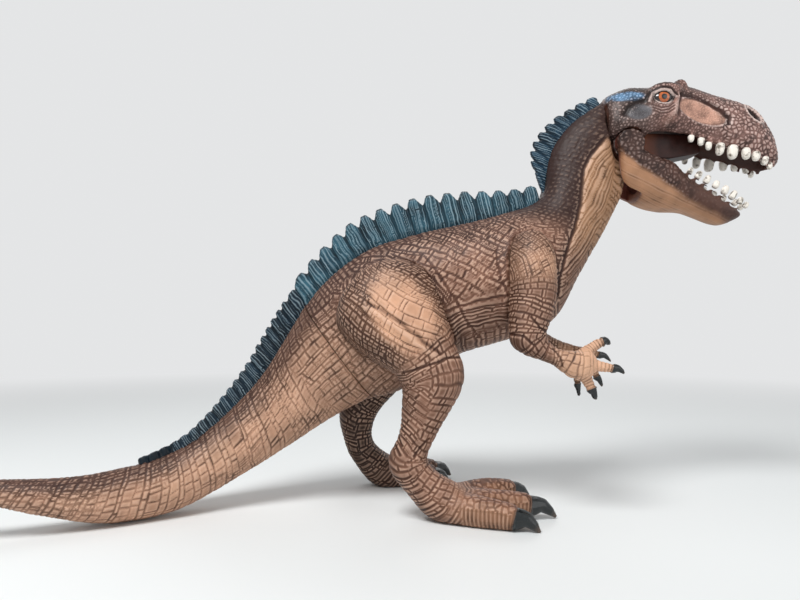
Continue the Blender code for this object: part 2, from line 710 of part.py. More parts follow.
def palate_form():
    """The hollow between the tooth rows, open below."""
    sections = []
    for i in range(MOUTH_SECTIONS):
        t = i / (MOUTH_SECTIONS - 1)
        along = PALATE_START_SHARE + (PALATE_END_SHARE - PALATE_START_SHARE) * t
        _, lip, width = row_at(HEAD_SHARES, along)
        top = head_point(along, lip) + Vector((0, 0, PALATE_HEIGHT))
        bottom = top - Vector((0, 0, 2 * PALATE_HEIGHT + OVERRUN))
        half_width = max(width * HEAD_HALF_WIDTH - LIP_WALL, LIP_WALL / 2)
        sections.append((top, bottom, half_width))
    return loft("palate", sections, LIMB_SIDES, HEAD_ROUNDNESS)


def make_lower_jaw():
    sections = []
    for along, rim, underside, width in smoothed(JAW_SHARES, OUTLINE_STEPS):
        sections.append((jaw_point(along, rim), jaw_point(along, underside), width * JAW_HALF_WIDTH))
    form = loft("jaw_form", sections, BODY_SIDES, JAW_ROUNDNESS, JAW_TAPER_SHARE)
    knuckles = cylinder("knuckles", PIVOT, Vector((0, 1, 0)), KNUCKLE_RADIUS, 2 * JAW_HALF_WIDTH)
    jaw = join([form, knuckles], "lower_jaw")
    blend(jaw, HEAD_VOXEL, JAW_FACETS)
    combine(jaw, mouth_trough(), "DIFFERENCE")
    slot_half = BLOCK_HALF_WIDTH + CLEARANCE
    floor_start = PIVOT.x + JAW_FLOOR_START_SHARE * JAW_LENGTH
    low = Vector((PIVOT.x - JAW_LENGTH, HIP_Y - slot_half, PIVOT.z - JAW_DROP - OVERRUN))
    high = Vector((floor_start, HIP_Y + slot_half, PIVOT.z + KNUCKLE_RADIUS + OVERRUN))
    combine(jaw, box("throat_slot", low, high), "DIFFERENCE")
    combine(jaw, tongue_form(), "UNION")
    bore = cylinder("bore", PIVOT, Vector((0, 1, 0)), PIN_RADIUS + CLEARANCE, PIN_LENGTH + 2 * CLEARANCE)
    combine(jaw, bore, "DIFFERENCE")
    slope = Vector((JAW_LENGTH, 0, -JAW_DROP)).normalized()
    up = Vector((0, 0, 1)) - slope * slope.z
    combine(jaw, teeth("lower_teeth", lower_tooth_places(), up.normalized()), "UNION")
    return jaw


def mouth_trough():
    sections = []
    for i in range(MOUTH_SECTIONS):
        t = i / (MOUTH_SECTIONS - 1)
        along = JAW_FLOOR_START_SHARE + (JAW_FLOOR_END_SHARE - JAW_FLOOR_START_SHARE) * t
        rim, underside, width = row_at(JAW_SHARES, along)
        bottom = jaw_point(along, underside) + Vector((0, 0, JAW_FLOOR))
        top = jaw_point(along, rim)
        rim_height = max(top.z, bottom.z + CLEARANCE)
        top.z = 2 * rim_height - bottom.z + OVERRUN
        half_width = max(width * JAW_HALF_WIDTH - JAW_WALL, JAW_WALL / 2)
        sections.append((top, bottom, half_width))
    return loft("trough", sections, LIMB_SIDES, JAW_ROUNDNESS)


def tongue_form():
    points = []
    for i in range(TONGUE_SECTIONS):
        t = i / (TONGUE_SECTIONS - 1)
        along = TONGUE_START_SHARE + (TONGUE_END_SHARE - TONGUE_START_SHARE) * t
        _, underside, width = row_at(JAW_SHARES, along)
        floor = jaw_point(along, underside) + Vector((0, 0, JAW_FLOOR))
        lift = TONGUE_HEIGHT * math.sin(math.pi * (TONGUE_ARCH_SHARE * t + (1 - TONGUE_ARCH_SHARE) / 2))
        half_width = TONGUE_WIDTH_SHARE * (width * JAW_HALF_WIDTH - JAW_WALL)
        points.append((floor + Vector((0, 0, lift)), floor - Vector((0, 0, JAW_FLOOR / 2)), half_width))
    return loft("tongue", points, DIGIT_SIDES, JAW_ROUNDNESS)


def jaw_room(side):
    """The space beside the throat where one branch of the jaw swings."""
    inner = HIP_Y + side * BLOCK_HALF_WIDTH
    outer = HIP_Y + side * (HEAD_HALF_WIDTH + OVERRUN)
    low = Vector((PIVOT.x - KNUCKLE_RADIUS - 2 * CLEARANCE, min(inner, outer), PIVOT.z - JAW_DROP))
    high = Vector((PIVOT.x + HEAD_LENGTH, max(inner, outer), PIVOT.z + KNUCKLE_RADIUS))
    return box("jaw_room", low, high)


def make_tail():
    """The tail, and the form that makes room for its root and plug in the torso."""
    sections = tail_sections()
    top, bottom, width = sections[0]
    seam = (top - bottom).normalized()
    back = Vector((-seam.z, 0, seam.x))
    centre = (top + bottom) / 2
    start = centre + back * TAIL_PLUG_RADIUS / 2
    sections[0] = (top + back * CLEARANCE, bottom + back * CLEARANCE, width)
    tail = loft("tail", sections, BODY_SIDES, TAIL_ROUNDNESS, BACK_TAPER_SHARE)
    cutter = grown(tail)
    for target, gap in ((tail, 0), (cutter, CLEARANCE)):
        end = centre - back * (TAIL_PLUG_LENGTH + gap)
        plug = cylinder("plug", (start + end) / 2, back, TAIL_PLUG_RADIUS + gap, (start - end).length)
        combine(target, plug, "UNION")
    combine(tail, ground_form(), "DIFFERENCE")
    return tail, cutter


def ground_form():
    """All that lies below the table, for soles and tail to be trimmed flat."""
    low = Vector((HIP_X - 2 * TAIL_LENGTH, HIP_Y - 2 * TAIL_SWING, -OVERRUN))
    high = Vector((HIP_X + 2 * TAIL_LENGTH, HIP_Y + 2 * TAIL_SWING, 0))
    return box("ground", low, high)


def limb_points(rows, side, anchor, reach, rise, spread, half_width):
    sections = []
    for front_x, front_z, rear_x, rear_z, sideways, width in smoothed(rows, OUTLINE_STEPS):
        out = side * sideways * spread
        front = anchor + Vector((front_x * reach, out, front_z * rise))
        rear = anchor + Vector((rear_x * reach, out, rear_z * rise))
        sections.append((front, rear, width * half_width))
    return sections


def digit_points(row, side, anchor, reach, rise, spread):
    return [anchor + Vector((x * reach, side * y * spread, z * rise)) for x, y, z in row]


def claw_path(points):
    """Bend the claw over its tip, from inside the flesh."""
    knuckle, root, tip = points[1], points[2], points[3]
    into = (root - knuckle).normalized()
    reach = (tip - root).length
    start = root - into * CLAW_ROOT_SHARE * reach
    middle = (root + tip) / 2 + Vector((0, 0, CLAW_HOOK_SHARE * reach))
    return [start, root.lerp(middle, CLAW_ROOT_SHARE), middle, tip]


def hip_face(side, gap):
    """What is trimmed off a thigh for its flat inner face."""
    face = HIP_Y + side * (HIP_FACE - gap)
    knee = HIP_TRIM_SHARE * HIP_HEIGHT
    low = Vector((HIP_X - LEG_LENGTH, min(HIP_Y - side * LEG_LENGTH, face), knee))
    high = Vector((HIP_X + 2 * LEG_LENGTH, max(HIP_Y - side * LEG_LENGTH, face), 2 * HIP_HEIGHT))
    return box("hip_face", low, high)


def hip_peg(side, gap):
    peg_x, peg_z = HIP_PEG_SHARES
    outer = HIP_FACE + HIP_PEG_RADIUS
    inner = HIP_FACE - HIP_PEG_LENGTH - gap
    centre = Vector((HIP_X + peg_x * LEG_LENGTH, HIP_Y + side * (outer + inner) / 2, peg_z * HIP_HEIGHT))
    return cylinder("peg", centre, Vector((0, 1, 0)), HIP_PEG_RADIUS + gap, outer - inner)


def make_leg(name, rows, toes, side):
    ground = Vector((HIP_X, HIP_Y, -SOLE_SINK))
    sections = limb_points(rows, side, ground, LEG_LENGTH, HIP_HEIGHT, STANCE, THIGH_HALF_WIDTH)
    form = loft("leg_form", sections, LIMB_SIDES, LEG_ROUNDNESS)
    forms = [form]
    claws = []
    for row in toes:
        points = digit_points(row, side, ground, LEG_LENGTH, HIP_HEIGHT, STANCE)
        forms.append(digit("toe", points[:3], TOE_RADIUS, TOE_TAPER_SHARES, DIGIT_SIDES))
        claws.append(digit("claw", claw_path(points), TOE_RADIUS, CLAW_TAPER_SHARES, CLAW_SIDES))
    leg = join(forms, name)
    blend(leg, LIMB_VOXEL, LEG_FACETS)
    cutter = grown(leg)
    for target, gap in ((leg, 0), (cutter, CLEARANCE)):
        combine(target, hip_face(side, gap), "DIFFERENCE")
        combine(target, hip_peg(side, gap), "UNION")
    for claw in claws:
        combine(leg, claw, "UNION")
    combine(leg, ground_form(), "DIFFERENCE")
    return leg, cutter


def shoulder():
    return HIP + Vector((SHOULDER_SHARES[0] * TORSO_LENGTH, 0, SHOULDER_SHARES[1] * TORSO_HEIGHT))


def shoulder_face(side, gap):
    """What is trimmed off an upper arm for its flat inner face."""
    anchor = shoulder()
    face = HIP_Y + side * (SHOULDER_FACE - gap)
    low = Vector((anchor.x - ARM_LENGTH, min(HIP_Y - side * ARM_LENGTH, face), anchor.z - ARM_LENGTH / 2))
    high = Vector((anchor.x + ARM_LENGTH, max(HIP_Y - side * ARM_LENGTH, face), anchor.z + ARM_LENGTH))
    return box("shoulder_face", low, high)


def shoulder_peg(side, gap):
    outer = SHOULDER_FACE + SHOULDER_PEG_RADIUS / 2
    inner = SHOULDER_FACE - SHOULDER_PEG_LENGTH - gap
    centre = shoulder() + Vector((0, side * (outer + inner) / 2, 0))
    return cylinder("peg", centre, Vector((0, 1, 0)), SHOULDER_PEG_RADIUS + gap, outer - inner)


def make_arm(name, rows, fingers, side):
    anchor = shoulder()
    sections = limb_points(rows, side, anchor, ARM_LENGTH, ARM_LENGTH, ARM_SPREAD, ARM_HALF_WIDTH)
    form = loft("arm_form", sections, LIMB_SIDES, ARM_ROUNDNESS)
    forms = [form]
    claws = []
    for row in fingers:
        points = digit_points(row, side, anchor, ARM_LENGTH, ARM_LENGTH, ARM_SPREAD)
        forms.append(digit("finger", points[:3], FINGER_RADIUS, FINGER_TAPER_SHARES, DIGIT_SIDES))
        claws.append(digit("talon", claw_path(points), FINGER_RADIUS, TALON_TAPER_SHARES, TALON_SIDES))
    arm = join(forms, name)
    blend(arm, HAND_VOXEL, ARM_FACETS)
    cutter = grown(arm)
    for target, gap in ((arm, 0), (cutter, CLEARANCE)):
        combine(target, shoulder_face(side, gap), "DIFFERENCE")
        combine(target, shoulder_peg(side, gap), "UNION")
    for claw in claws:
        combine(arm, claw, "UNION")
    return arm, cutter


def back_line(sections):
    """Points along the skin's top, with the direction that stands up from it."""
    return [(top, (top - bottom).normalized()) for top, bottom, _ in sections]


def line_lengths(line):
    lengths = [0.0]
    for (first, _), (second, _) in zip(line, line[1:]):
        lengths.append(lengths[-1] + (second - first).length)
    return lengths


def on_line(line, lengths, distance):
    """The point and direction at a distance along a line."""
    for i in range(len(lengths) - 1):
        if distance <= lengths[i + 1] or i == len(lengths) - 2:
            t = (distance - lengths[i]) / (lengths[i + 1] - lengths[i])
            point = line[i][0].lerp(line[i + 1][0], t)
            return point, line[i][1].lerp(line[i + 1][1], t).normalized()


def distance_to(line, lengths, x):
    """How far along a line it first reaches a place in X."""
    for i, ((first, _), (second, _)) in enumerate(zip(line, line[1:])):
        if first.x <= x <= second.x:
            return lengths[i] + (lengths[i + 1] - lengths[i]) * (x - first.x) / (second.x - first.x)
    return lengths[-1]


def table_value(shares, t):
    place = min(max(t, 0), 1) * (len(shares) - 1)
    i = min(int(place), len(shares) - 2)
    return shares[i] + (shares[i + 1] - shares[i]) * (place - i)


def frame_on(line, lengths, distance):
    """The point on the back, the direction across it and the direction that stands up from it."""
    point, up = on_line(line, lengths, distance)
    ahead, _ = on_line(line, lengths, distance + CLEARANCE)
    return point, up.cross(ahead - point).normalized(), up


def plate_outline(thick, tall, knob, rise):
    """The right half of a plate's outline, in metres, from the rail up."""
    fullness = min(rise / BACK_CREST_HEIGHT, 1)
    half = thick * CREST_HALF_WIDTH * (CREST_THIN_SHARE + (1 - CREST_THIN_SHARE) * fullness)
    bump = KNOB_HEIGHT * knob
    points = [(CREST_RAIL_HALF_WIDTH, -CREST_RAIL_DEPTH)]
    for across, level, swell, lift in PLATE_PROFILE_SHARES:
        points.append((half * (across + swell * knob), level * tall * rise + lift * bump))
    return points, PLATE_RIDGE_SHARE * tall * rise + bump


def crest_strip(name, line, start, end, count, plate, height, heights, knobs):
    """A rail in the back with scalloped plates on it, skinned as one closed strip."""
    lengths = line_lengths(line)
    pitch = (end - start) / count
    stations = [(i + place, *rest) for i in range(count) for place, *rest in plate]
    stations.append((count, *plate[0][1:]))
    bm = bmesh.new()
    rings = []
    for place, thick, tall, knob in stations:
        point, side, up = frame_on(line, lengths, start + place * pitch)
        rise = height * table_value(heights, place / count)
        points, ridge = plate_outline(thick, tall, knob * knobs * rise / height, rise)
        outline = [(-across, level) for across, level in points] + [(0, ridge)] + points[::-1]
        rings.append([bm.verts.new(point + side * across + up * level) for across, level in outline])
    return skin(name, bm, rings)


def crest_slot(line, start, end, count):
    """The slot that a strip's rail sits in, with a station at each plate."""
    lengths = line_lengths(line)
    half = CREST_HALF_WIDTH + CLEARANCE
    low = -CREST_RAIL_DEPTH - 2 * CLEARANCE
    pitch = (end - start) / count
    bm = bmesh.new()
    rings = []
    for distance in (start - CLEARANCE, *(start + i * pitch for i in range(1, count)), end + CLEARANCE):
        point, side, up = frame_on(line, lengths, distance)
        outline = ((-half, low), (-half, CREST_RAIL_DEPTH), (half, CREST_RAIL_DEPTH), (half, low))
        rings.append([bm.verts.new(point + side * across + up * level) for across, level in outline])
    return skin("slot", bm, rings)


def finish(piece, colour, roughness=SKIN_ROUGHNESS, metallic=0):
    """Give a finished piece its own Principled material and its place among the parts."""
    material = bpy.data.materials.new(piece.name)
    material.use_nodes = True
    shader = material.node_tree.nodes["Principled BSDF"]
    shader.inputs["Base Color"].default_value = colour
    shader.inputs["Roughness"].default_value = roughness
    shader.inputs["Metallic"].default_value = metallic
    piece.data.materials.clear()
    piece.data.materials.append(material)
    piece.data.shade_smooth()
    piece.data.set_sharp_from_angle(angle=SHARP_ANGLE)
    collection_named(PARTS).objects.link(piece)
    collection_named(FORMS).objects.unlink(piece)


def put_origin(piece, place):
    """Move a piece's origin and leave its shape where it is."""
    piece.data.transform(Matrix.Translation(-place))
    piece.location = place


def main():
    clear_scene()
    torso_line = torso_sections()
    torso = loft("torso", torso_line, BODY_SIDES, TORSO_ROUNDNESS, BACK_TAPER_SHARE)
    for side in (-1, 1):
        combine(torso, jaw_room(side), "DIFFERENCE")
    skull, cutter = make_skull()
    combine(torso, cutter, "DIFFERENCE")
    tail, cutter = make_tail()
    combine(torso, cutter, "DIFFERENCE")
    legs = []
    for name, rows, toes, side in (
        ("right_leg", RIGHT_LEG_SHARES, RIGHT_TOE_SHARES, -1),
        ("left_leg", LEFT_LEG_SHARES, LEFT_TOE_SHARES, 1),
    ):
        leg, cutter = make_leg(name, rows, toes, side)
        combine(torso, cutter, "DIFFERENCE", keep=True)
        combine(tail, cutter, "DIFFERENCE")
        legs.append(leg)
    arms = []
    for name, rows, fingers, side in (
        ("right_arm", RIGHT_ARM_SHARES, RIGHT_FINGER_SHARES, -1),
        ("left_arm", LEFT_ARM_SHARES, LEFT_FINGER_SHARES, 1),
    ):
        arm, cutter = make_arm(name, rows, fingers, side)
        combine(torso, cutter, "DIFFERENCE")
        arms.append(arm)
    jaw = make_lower_jaw()
    pin = cylinder("jaw_hinge_pin", PIVOT, Vector((0, 1, 0)), PIN_RADIUS, PIN_LENGTH)

    torso_back = back_line(torso_line)
    tail_back = back_line(tail_sections())
    body_length = line_lengths(torso_back)
    neck_start = body_length[(len(TORSO_SHARES) - 1) * OUTLINE_STEPS]
    neck_end = distance_to(torso_back, body_length, head_point(HEAD_SHARES[0][0], 0).x - CREST_END_GAP)
    tail_length = line_lengths(tail_back)[-1]
    strips = (
        ("crest_back", torso, torso_back, CREST_END_GAP, neck_start - CREST_END_GAP,
         BACK_PLATES, PLATE_SHARES, BACK_CREST_HEIGHT, BACK_CREST_SHARES, 1),
        ("crest_neck", torso, torso_back, neck_start + CREST_END_GAP, neck_end,
         NECK_PLATES, SMALL_PLATE_SHARES, NECK_CREST_HEIGHT, NECK_CREST_SHARES, 1),
        ("crest_tail", tail, tail_back, CREST_END_GAP, TAIL_CREST_END_SHARE * tail_length,
         TAIL_PLATES, SMALL_PLATE_SHARES, TAIL_CREST_HEIGHT, TAIL_CREST_SHARES, 0),
    )
    crests = []
    for name, carrier, line, start, end, count, plate, height, heights, knobs in strips:
        crests.append(crest_strip(name, line, start, end, count, plate, height, heights, knobs))
        combine(carrier, crest_slot(line, start, end, count), "DIFFERENCE")

    put_origin(jaw, PIVOT)
    for piece in (torso, tail, *legs, *arms):
        finish(piece, SKIN_COLOUR)
    finish(skull, SKULL_COLOUR)
    finish(jaw, JAW_COLOUR)
    for crest in crests:
        finish(crest, CREST_COLOUR)
    finish(pin, STEEL_COLOUR, STEEL_ROUGHNESS, 1)
    bpy.data.collections.remove(collection_named(FORMS))


main()
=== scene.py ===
# %% [markdown]
# # A toy dinosaur: from plain solids to a painted vinyl figure
# The figure is taken to be moulded from soft vinyl in a dozen pieces, pressed and glued together, and then painted:
# an airbrushed coat that goes from dark brown on the back to tan below, a dark wash that stays in every crack, and a
# pale dry brush over what stands proud. This lesson does the same. It takes the plain solids, gives each a fine skin,
# sculpts the cracks and folds into that skin as real relief, and then lets the materials read that relief.

# %% Load the frame
import itertools
import math
import random

import bmesh
import bpy
import numpy as np
from mathutils import Matrix, Vector


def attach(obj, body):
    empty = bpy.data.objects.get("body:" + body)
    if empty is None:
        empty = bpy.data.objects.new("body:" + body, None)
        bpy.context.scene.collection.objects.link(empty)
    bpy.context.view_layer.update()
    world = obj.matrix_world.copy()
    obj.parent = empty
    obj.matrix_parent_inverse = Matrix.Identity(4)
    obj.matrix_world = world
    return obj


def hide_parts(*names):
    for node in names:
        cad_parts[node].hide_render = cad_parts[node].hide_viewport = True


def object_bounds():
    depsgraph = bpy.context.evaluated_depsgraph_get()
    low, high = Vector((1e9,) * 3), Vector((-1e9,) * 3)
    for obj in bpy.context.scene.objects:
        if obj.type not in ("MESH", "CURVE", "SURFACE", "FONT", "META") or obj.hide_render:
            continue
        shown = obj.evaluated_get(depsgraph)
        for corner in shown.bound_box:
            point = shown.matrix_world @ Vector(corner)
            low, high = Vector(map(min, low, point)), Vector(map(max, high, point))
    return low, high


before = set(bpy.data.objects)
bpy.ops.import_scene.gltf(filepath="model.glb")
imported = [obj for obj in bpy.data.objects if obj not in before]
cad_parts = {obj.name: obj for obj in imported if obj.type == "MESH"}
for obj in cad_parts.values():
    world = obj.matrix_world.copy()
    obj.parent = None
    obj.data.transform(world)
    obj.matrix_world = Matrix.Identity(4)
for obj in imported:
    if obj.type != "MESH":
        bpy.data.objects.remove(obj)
cad_box = [list(corner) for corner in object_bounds()]
MM = 0.001
print("solids:", len(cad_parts), "box in mm:", [[round(v / MM, 1) for v in corner] for corner in cad_box])

# %% [markdown]
# ## The camera
# The photograph was taken from near the table, level with the belly. Its lens is taken to see 67 degrees across. The
# same camera stands here, so that what is placed by a pixel of the picture lands where the picture has it. The ray
# through a pixel slants, so a place that is set deeper along it also moves away from the picture's middle.

# %% Camera
IMAGE_WIDTH, IMAGE_HEIGHT, FOCAL_PIXELS = 800, 600, 600
SENSOR = 36
CAMERA_PLACE = Vector((0.0059, -0.1969, 0.05445))
CAMERA_TILT = math.radians(93.34)
camera = bpy.data.objects.new("camera", bpy.data.cameras.new("camera"))
camera.data.sensor_width = SENSOR
camera.data.lens = SENSOR * FOCAL_PIXELS / IMAGE_WIDTH
camera.location = CAMERA_PLACE
camera.rotation_euler = (CAMERA_TILT, 0, 0)
bpy.context.scene.collection.objects.link(camera)
bpy.context.scene.camera = camera


def spot(column, row, depth):
    """The point at a depth in Y that a pixel of the picture shows."""
    ahead = Vector((0, math.sin(CAMERA_TILT), -math.cos(CAMERA_TILT)))
    up = Vector((0, math.cos(CAMERA_TILT), math.sin(CAMERA_TILT)))
    right = (column - IMAGE_WIDTH / 2) / FOCAL_PIXELS
    ray = ahead + Vector((right, 0, 0)) - up * ((row - IMAGE_HEIGHT / 2) / FOCAL_PIXELS)
    return CAMERA_PLACE + ray * ((depth - CAMERA_PLACE.y) / ray.y)


# %% [markdown]
# ## Fine skins over the solids
# A solid from the frame has broad flat facets. It is never changed: a copy has its doubled corners merged, is remeshed
# into even little squares by the Voxel Remesh modifier, and is then free to be sculpted. Each piece keeps under
# 200,000 triangles, so the squares are 0.24 to 0.49 mm wide, about one pixel of the picture.

# %% Mesh helpers
MERGE = 1e-6
# How wide the even squares of a skin are
TORSO_SQUARE, TAIL_SQUARE, HEAD_SQUARE = 0.49 * MM, 0.4 * MM, 0.30 * MM


def settle(piece):
    """Replace a piece's mesh with what its modifiers give."""
    graph = bpy.context.evaluated_depsgraph_get()
    done = bpy.data.meshes.new_from_object(piece.evaluated_get(graph))
    piece.modifiers.clear()
    old, piece.data = piece.data, done
    bpy.data.meshes.remove(old)


def linked(name, bm):
    mesh = bpy.data.meshes.new(name)
    bm.to_mesh(mesh)
    bm.free()
    piece = bpy.data.objects.new(name, mesh)
    bpy.context.scene.collection.objects.link(piece)
    return piece


def remeshed(name, nodes, voxel, grow=0.0):
    """A fine even mesh over copies of some solids, each first grown by a little."""
    bm = bmesh.new()
    for node in nodes:
        bm.from_mesh(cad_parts[node].data)
    bmesh.ops.remove_doubles(bm, verts=bm.verts, dist=MERGE)
    bm.normal_update()
    for vert in bm.verts:
        vert.co += vert.normal * grow
    piece = linked(name, bm)
    step = piece.modifiers.new("even squares", "REMESH")
    step.mode = "VOXEL"
    step.voxel_size = voxel
    settle(piece)
    return piece


def numbers(items, field, width, kind=np.float32):
    values = np.empty(len(items) * width, kind)
    items.foreach_get(field, values)
    return values.reshape(-1, width) if width > 1 else values


def places(piece):
    return numbers(piece.data.vertices, "co", 3).astype(float)


def normals(piece):
    return numbers(piece.data.vertex_normals, "vector", 3).astype(float)


def put(piece, points):
    piece.data.vertices.foreach_set("co", points.astype(np.float32).ravel())
    piece.data.update()


def relaxed(piece, points, weight, passes):
    """Move each point towards the middle of its neighbours, some way, some times."""
    first, second = numbers(piece.data.edges, "vertices", 2, np.int32).T
    count = np.bincount(first, minlength=len(points)) + np.bincount(second, minlength=len(points))
    share = np.broadcast_to(weight, len(points))[:, None]
    for _ in range(passes):
        total = np.column_stack([
            np.bincount(first, axis[second], len(points)) + np.bincount(second, axis[first], len(points))
            for axis in points.T
        ])
        points = points + share * (total / count[:, None] - points)
    return points


def smooth(value, low, high):
    """0 below low, 1 above high, and an even slope between."""
    t = np.clip((value - low) / (high - low), 0, 1)
    return t * t * (3 - 2 * t)


def keep(piece, name, values):
    """Store one number at each vertex under a name that the materials can read."""
    held = piece.data.attributes.new(name, "FLOAT", "POINT")
    held.data.foreach_set("value", np.broadcast_to(values, len(piece.data.vertices)).astype(np.float32))


# %% [markdown]
# ## Fields: noise, pebbles and bricks
# The skin of the real figure was engraved with two nets. Over most of the body long lines run side by side with short
# cross cracks between them, like a wall of uneven bricks. On the neck and the snout there are pebbles instead, which
# a Voronoi pattern on a jittered grid gives. Both come down to one number at each vertex, the distance to the nearest
# crack: it makes the relief, and the material draws a thin dark line where it is small. Blender's texture nodes make
# such patterns in a material only, where they would leave the mesh smooth, so they are made here with NumPy.

# %% Fields
TABLE = 32
LONG_TABLE = 4096


def noise(points, size, seed):
    """Soft noise from -1 to 1 with features of one size."""
    table = np.random.default_rng(seed).random((TABLE,) * 3) * 2 - 1
    at = points / size
    base = np.floor(at).astype(int)
    part = at - base
    part = part * part * (3 - 2 * part)
    total = np.zeros(len(points))
    for step in itertools.product((0, 1), repeat=3):
        share = np.prod(np.where(np.array(step) == 1, part, 1 - part), axis=1)
        total += share * table[tuple(((base + step) % TABLE).T)]
    return total


def warp(points, *waves):
    """Soft shifts in metres, each wave given by its height and size in millimetres and its seed."""
    return sum(height * noise(points, size * MM, seed) for height, size, seed in waves) * MM


def pebbles(at, size, jitter, seed):
    """The distance in metres to the nearest border of rounded cells."""
    at = at / size
    width = at.shape[1]
    table = np.random.default_rng(seed).random((TABLE,) * width + (width,)) - 0.5
    base = np.floor(at).astype(int)

    def seed_of(step):
        cell = base + step
        return cell + 0.5 + jitter * table[tuple((cell % TABLE).T)]

    steps = list(itertools.product((-1, 0, 1), repeat=width))
    nearest = np.full(len(at), np.inf)
    home = np.zeros_like(at)
    for step in steps:
        other = seed_of(step)
        gap = np.linalg.norm(other - at, axis=1)
        closer = gap < nearest
        nearest[closer] = gap[closer]
        home[closer] = other[closer]
    border = np.full(len(at), np.inf)
    for step in steps:
        other = seed_of(step)
        across = other - home
        length = np.linalg.norm(across, axis=1)
        real = length > 0
        reach = ((other + home) / 2 - at)[real]
        border[real] = np.minimum(border[real], (reach * across[real]).sum(1) / length[real])
    return border * size


def bricks(run, rise, length, width, seed, jitter=0.75, faint=0.22):
    """The distance in metres to the nearest crack: long lines a width apart, and cross cracks between them.

    Each crack has its own strength, and a faint one is given as further away than it is.
    """
    table = np.random.default_rng(seed).random(LONG_TABLE)

    def split(value, key, pitch):
        base = np.floor(value).astype(int)

        def place(k):
            return k + jitter * (table[(k + key) % LONG_TABLE] - 0.5)

        def veil(k):
            return faint * MM * table[(3 * k + 5 * key + 7) % LONG_TABLE] ** 1.5

        own = base + (value >= place(base + 1)) - (value < place(base))
        low = (value - place(own)) * pitch + veil(own)
        high = (place(own + 1) - value) * pitch + veil(own + 1)
        return own, np.minimum(low, high)

    row, line = split(rise / width, np.zeros(len(rise), int), width)
    _, cross = split(run / length + table[(53 * row) % LONG_TABLE], 37 * row + 1009, length)
    return np.minimum(line, cross)


def both(first, second, share):
    """One net where share is 0 and the other where it is 1, with some of each between."""
    return np.minimum(first + 0.7 * MM * smooth(share, 0.3, 1), second + 0.7 * MM * smooth(1 - share, 0.3, 1))


def crease(points, pixels, depth, width):
    """How near each point is to a line drawn on the picture: 1 on it, and 0 away from it."""
    corners = np.array([spot(column, row, depth) for column, row in pixels])[:, (0, 2)]
    waver = np.column_stack((noise(points, 4 * MM, 5), noise(points, 4 * MM, 6)))
    flat = points[:, (0, 2)] + 0.45 * MM * waver
    best = np.full(len(points), np.inf)
    for start, end in zip(corners, corners[1:]):
        way = end - start
        t = np.clip(((flat - start) @ way) / (way @ way), 0, 1)
        best = np.minimum(best, np.linalg.norm(flat - start - t[:, None] * way, axis=1))
    return np.exp(-((best / width) ** 2))


def ellipse(points, column, row, wide, high, tilt=0.0, depth=-0.005):
    """How far out a point is in an ellipse set on the picture: 0 is its middle, 1 its edge."""
    centre = spot(column, row, depth)
    pixel = (spot(column + 1, row, depth) - centre).length
    x = (points[:, 0] - centre.x) / pixel
    z = (points[:, 2] - centre.z) / pixel
    c, s = math.cos(math.radians(tilt)), math.sin(math.radians(tilt))
    return np.hypot((x * c - z * s) / wide, (x * s + z * c) / high)


def thigh_ring(points):
    """How far out a point is from the middle of the thigh in the picture: 1 is the thigh's rim."""
    return ellipse(points, 405, 316, 70, 39, 50, -0.018)


def valley(edge, depth=0.26, width=0.34):
    """A crack's valley: how far the skin sinks at a distance from the crack's middle."""
    return -depth * MM * np.exp(-((edge / (width * MM)) ** 2))


# %% [markdown]
# ## Centre lines
# Rings and lengthwise cracks follow the limbs. Each limb has a line down its middle, in millimetres. A vertex gets its
# distance along the line and its angle round it, from the top of the body or the front of a limb.

# %% Centre lines
LINES = {
    "torso": (
        (-14, 4, 49), (-6, 4, 55), (4, 4, 62), (14, 4, 67), (26, 4, 70), (37, 4, 73), (49, 4, 76.5), (54.5, 4, 80),
        (59, 4, 86.5), (64, 4, 98.5), (68.5, 4, 109.5), (72, 4, 119), (77, 4, 127),
    ),
    "tail": (
        (-133, -41.5, 18.5), (-123, -40, 17), (-113, -37.5, 14.5), (-102.5, -34, 12.5), (-90, -28, 9.5),
        (-78, -20.5, 7.5), (-65.5, -12, 9), (-55, -5, 14), (-42, 0.5, 23.5), (-31.5, 3.5, 32.5), (-22.5, 4, 42),
        (-14, 4, 49.5),
    ),
    "right_leg": (
        (0, -11, 76), (0, -12.5, 70.5), (2, -14, 61), (7.5, -15, 52), (14, -15.5, 44), (16, -16, 40), (15, -16, 35),
        (13, -16, 29), (10.5, -16, 23), (8, -16, 18.5), (9, -16, 14.5), (12.5, -16, 10.5), (16.5, -16, 7),
        (21, -16, 4.5), (26, -16, 3),
    ),
    "left_leg": (
        (-0.5, 15, 76), (0, 16, 70), (0.5, 17.5, 60), (1.5, 19, 50.5), (0, 21.5, 42), (-2.5, 23, 36.5),
        (-5.5, 23.5, 32), (-8.5, 24, 27.5), (-9.5, 24, 22.5), (-9.5, 24, 18), (-8.5, 24, 13.5), (-5.5, 24.5, 10),
        (-2, 25, 6.5), (2.5, 25.5, 4), (7, 26.5, 3),
    ),
    "right_arm": (
        (46, -13, 86), (46.5, -14.5, 80), (46.5, -16.5, 72.5), (46.5, -17.5, 66.5), (45, -18, 60.5), (44, -18, 55.5),
        (44.5, -18.5, 52), (48.5, -18.5, 49), (53, -19, 48), (57, -19.5, 46), (61, -19.5, 45.5),
    ),
    "left_arm": (
        (46, 21, 86), (46.5, 22.5, 80), (47.5, 24.5, 72), (49.5, 25.5, 64.5), (52, 26, 59), (55, 26.5, 53.5),
        (60, 26.5, 50.5), (65.5, 26.5, 48.5), (70, 27, 46.5), (74, 27, 45.5),
    ),
}
